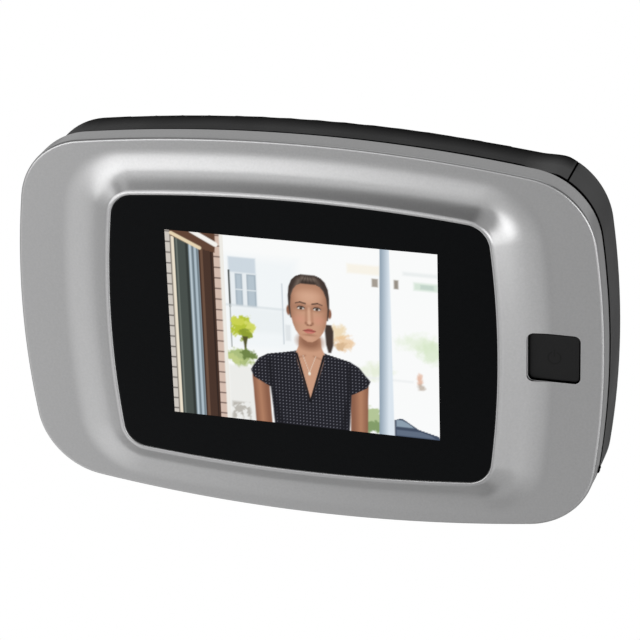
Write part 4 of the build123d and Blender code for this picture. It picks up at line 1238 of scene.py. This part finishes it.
# Image sensor: a dark ceramic package, a gilt frame and an iridescent field of cells under glass.
# It is soldered to the sensor board behind the lens holder.
gilt_middle = 0.0023
gilt_half_width = 0.00015
field_half_width = 0.0019
field_front = 0.02915
cell_pitch = 0.0002
cell_line_share = 0.4
sensor_look = grained(
    "sensor_package", (0.03, 0.03, 0.035), (0.05, 0.05, 0.055),
    rough=(0.3, 0.4), grain=2500, bump=0.000003,
)
x, y, z = axes(sensor_look)
off_middle = either(size_of(x), size_of(z))
gilt = band(off_middle, gilt_middle, gilt_half_width)
layered(sensor_look, gilt, colour=(0.72, 0.50, 0.20), metallic=1.0, rough=0.25)
field = both(below(off_middle, field_half_width), above(y, field_front))
layered(sensor_look, field, colour=(0.06, 0.16, 0.15), metallic=0.9, rough=0.12)
layered(sensor_look, both(field, crossed(x, z, cell_pitch, cell_line_share)), colour=(0.16, 0.09, 0.20))
dressed(sensor_look, "image_sensor")


# Circuit boards: glass fibre with green solder mask, copper tracks under it and tinned pads.
# The main board is screwed into the housing, the small ones sit behind the button and the sensor.
main_board_pitch = 0.0025
small_board_pitch = 0.0014
track_line_share = 0.25
pad_share = 1 / 3
patch_share = 0.35
patch_level = 0.51
patch_gap = 0.01
pad_reach = 0.06


def circuit_board(name, pitch):
    material = grained(
        name, (0.010, 0.085, 0.030), (0.016, 0.110, 0.040),
        rough=(0.28, 0.38), grain=1200, bump=0.000004,
    )
    x, y, z = axes(material)
    places = clouds(material, patch_share / pitch, 1.0)
    upright = lines(x, pitch / 2, track_line_share)
    upright = both(upright, above(places, patch_level + patch_gap, patch_gap))
    lying = lines(z, pitch / 2, track_line_share)
    lying = both(lying, below(places, patch_level - patch_gap, patch_gap))
    layered(material, either(upright, lying), colour=(0.030, 0.190, 0.070))
    pads = both(lines(x, pitch, pad_share), lines(z, pitch, pad_share))
    pads = both(pads, band(places, patch_level, pad_reach, patch_gap))
    layered(material, pads, colour=(0.74, 0.72, 0.66), metallic=1.0, rough=0.3)
    return material


dressed(circuit_board("main_board", main_board_pitch), "main_board")
dressed(circuit_board("small_board", small_board_pitch), "button_board", "sensor_board")

# Board parts: epoxy chips with tinned legs, aluminium capacitor cans on black feet with a black
# mark, a stamped steel card slot, and the camera's nylon socket and plug with tinned contacts.
board_back = -0.0145
leg_height = 0.0005
leg_pitch = 0.0008
spot_x = -0.0290
spot_z = 0.0130
spot_half_width = 0.0004
can_foot = 0.0006
can_mark_edge = -0.0355
can_top = -0.01035
pin_z = -0.012
pin_half_length = 0.0009
pin_pitch = 0.001
pin_share = 0.4
resin = grained(
    "black_resin", (0.012, 0.012, 0.013), (0.020, 0.020, 0.021),
    rough=(0.45, 0.6), grain=4000, bump=0.000006,
)
x, y, z = axes(resin)
legs = both(crossed(x, z, leg_pitch), below(y, board_back + leg_height))
layered(resin, legs, colour=(0.70, 0.69, 0.66), metallic=1.0, rough=0.3)
spot = both(band(x, spot_x, spot_half_width), band(z, spot_z, spot_half_width))
layered(resin, spot, colour=(0.05, 0.05, 0.05))
dressed(resin, "board_chips")
can_look = metal(
    "capacitor_can", (0.62, 0.62, 0.63), (0.72, 0.72, 0.73),
    rough=(0.22, 0.32), grain=1500, bump=0.000003, stretch=(1, 1, 0.1),
)
x, y, z = axes(can_look)
mark = either(below(y, board_back + can_foot), both(below(x, can_mark_edge), above(y, can_top)))
layered(can_look, mark, colour=(0.015, 0.015, 0.016), metallic=0.0, rough=0.5)
dressed(can_look, "board_capacitors")
stamped = metal(
    "bare_steel", (0.50, 0.50, 0.50), (0.62, 0.62, 0.61),
    rough=(0.22, 0.36), grain=1500, bump=0.000004, stretch=(0.05, 1, 1),
)
layered(stamped, clouds(stamped, 220), rough=0.42)
dressed(stamped, "card_slot", "lcd_frame", "switch_dome")
nylon = grained(
    "cream_plastic", (0.70, 0.64, 0.50), (0.78, 0.72, 0.58),
    rough=(0.4, 0.55), grain=900, bump=0.000006,
)
x, y, z = axes(nylon)
pins = both(lines(x, pin_pitch, pin_share), band(z, pin_z, pin_half_length))
layered(nylon, pins, colour=(0.60, 0.58, 0.52), metallic=1.0, rough=0.3)
dressed(nylon, "camera_socket", "camera_plug")
switch_body = grained(
    "switch_resin", (0.010, 0.010, 0.011), (0.018, 0.018, 0.019),
    rough=(0.5, 0.6), grain=3500, bump=0.000005,
)
dressed(switch_body, "tact_switch")

# Display module: liquid crystal glass under a dark polariser, a white backlight moulding with
# prism film, and an amber polyimide flex with copper tracks folded round to the board.
pixel_pitch = 0.00018
pixel_line_share = 1 / 3
prism_pitch = 0.0004
prism_depth = 0.00003
track_pitch = 0.0007
track_share = 3 / 7
tape_weave_pitch = 0.0005
tape_weave_depth = 0.00002
panel = grained(
    "lcd_panel", (0.004, 0.004, 0.006), (0.007, 0.007, 0.010),
    rough=(0.08, 0.14), grain=800,
)
x, y, z = axes(panel)
layered(panel, crossed(x, z, pixel_pitch, pixel_line_share), colour=(0.010, 0.009, 0.014))
dressed(panel, "lcd_panel")
light_guide = grained(
    "white_plastic", (0.74, 0.75, 0.75), (0.82, 0.82, 0.82),
    rough=(0.35, 0.5), grain=1000, bump=0.000004,
)
x, y, z = axes(light_guide)
ridged(light_guide, lines(z, prism_pitch), prism_depth)
dressed(light_guide, "backlight")
flex = grained(
    "amber_film", (0.36, 0.16, 0.03), (0.48, 0.23, 0.05),
    rough=(0.25, 0.35), grain=1200, bump=0.000002,
)
x, y, z = axes(flex)
layered(flex, lines(x, track_pitch, track_share), colour=(0.62, 0.30, 0.09), metallic=0.7, rough=0.3)
dressed(flex, "lcd_flex")
tape = grained(
    "black_tape", (0.010, 0.010, 0.010), (0.020, 0.020, 0.020),
    rough=(0.6, 0.75), grain=1500, bump=0.00001,
)
x, y, z = axes(tape)
ridged(tape, crossed(x, z, tape_weave_pitch), tape_weave_depth)
dressed(tape, "window_tape")

# Battery tray: black ABS moulding, set into the housing behind the end cover. Cells: steel cans
# in a printed sleeve with a gold ring, the ends bare, laid with every second one turned round.
cells_near_end = 0.01505
cells_far_end = 0.0576
cells_turn = 0.0738
cell_cap_start = 0.0480
cell_ring = 0.0472
cell_ring_half = 0.0004
tray = grained(
    "tray_plastic", (0.009, 0.009, 0.010), (0.016, 0.016, 0.017),
    rough=(0.4, 0.55), grain=1700, bump=0.00002, specular=0.3,
)
layered(tray, clouds(tray, 90, 2.0), rough=0.35)
dressed(tray, "battery_tray")


def cell_sleeve(name, turned):
    material = grained(
        name, (0.012, 0.060, 0.075), (0.018, 0.080, 0.100),
        rough=(0.25, 0.35), grain=900, bump=0.000002,
    )
    x, y, z = axes(material)
    if turned:
        x = maths("SUBTRACT", cells_turn, x)
    layered(material, above(x, cell_cap_start), colour=(0.66, 0.67, 0.66))
    layered(material, band(x, cell_ring, cell_ring_half), colour=(0.70, 0.42, 0.05))
    bare = either(below(x, cells_near_end), above(x, cells_far_end))
    layered(material, bare, colour=(0.62, 0.62, 0.60), metallic=1.0, rough=0.28)
    return material


dressed(cell_sleeve("cell_sleeve", False), "cell_1", "cell_3")
dressed(cell_sleeve("cell_sleeve_reversed", True), "cell_2", "cell_4")

# Power leads: tinned stranded wire in red and black insulation, soldered to the board at one end and
# to the tray's contacts at the other. Camera ribbon: grey laminate with flat copper conductors.
board_solder = 0.0008
tray_solder_start = 0.0108
ribbon_pitch = 0.0005
ribbon_copper_share = 0.56
ribbon_copper_depth = 0.00005
ribbon_copper_half = 0.0023
leads = grained(
    "lead_insulation", (0.40, 0.012, 0.010), (0.50, 0.018, 0.014),
    rough=(0.35, 0.45), grain=1500, bump=0.000005,
)
x, y, z = axes(leads)
layered(leads, below(z, 0.0), colour=(0.014, 0.014, 0.015))
bare = either(below(y, board_back + board_solder), above(x, tray_solder_start))
layered(leads, bare, colour=(0.66, 0.65, 0.62), metallic=1.0, rough=0.32)
dressed(leads, "power_leads")
ribbon = grained(
    "grey_ribbon", (0.20, 0.20, 0.21), (0.27, 0.27, 0.28),
    rough=(0.35, 0.45), grain=1000, bump=0.000003,
)
x, y, z = axes(ribbon)
tracks = both(lines(x, ribbon_pitch, ribbon_copper_share), below(size_of(x), ribbon_copper_half))
layered(ribbon, tracks, colour=(0.46, 0.40, 0.34), metallic=0.4)
ridged(ribbon, tracks, ribbon_copper_depth)
dressed(ribbon, "camera_ribbon")
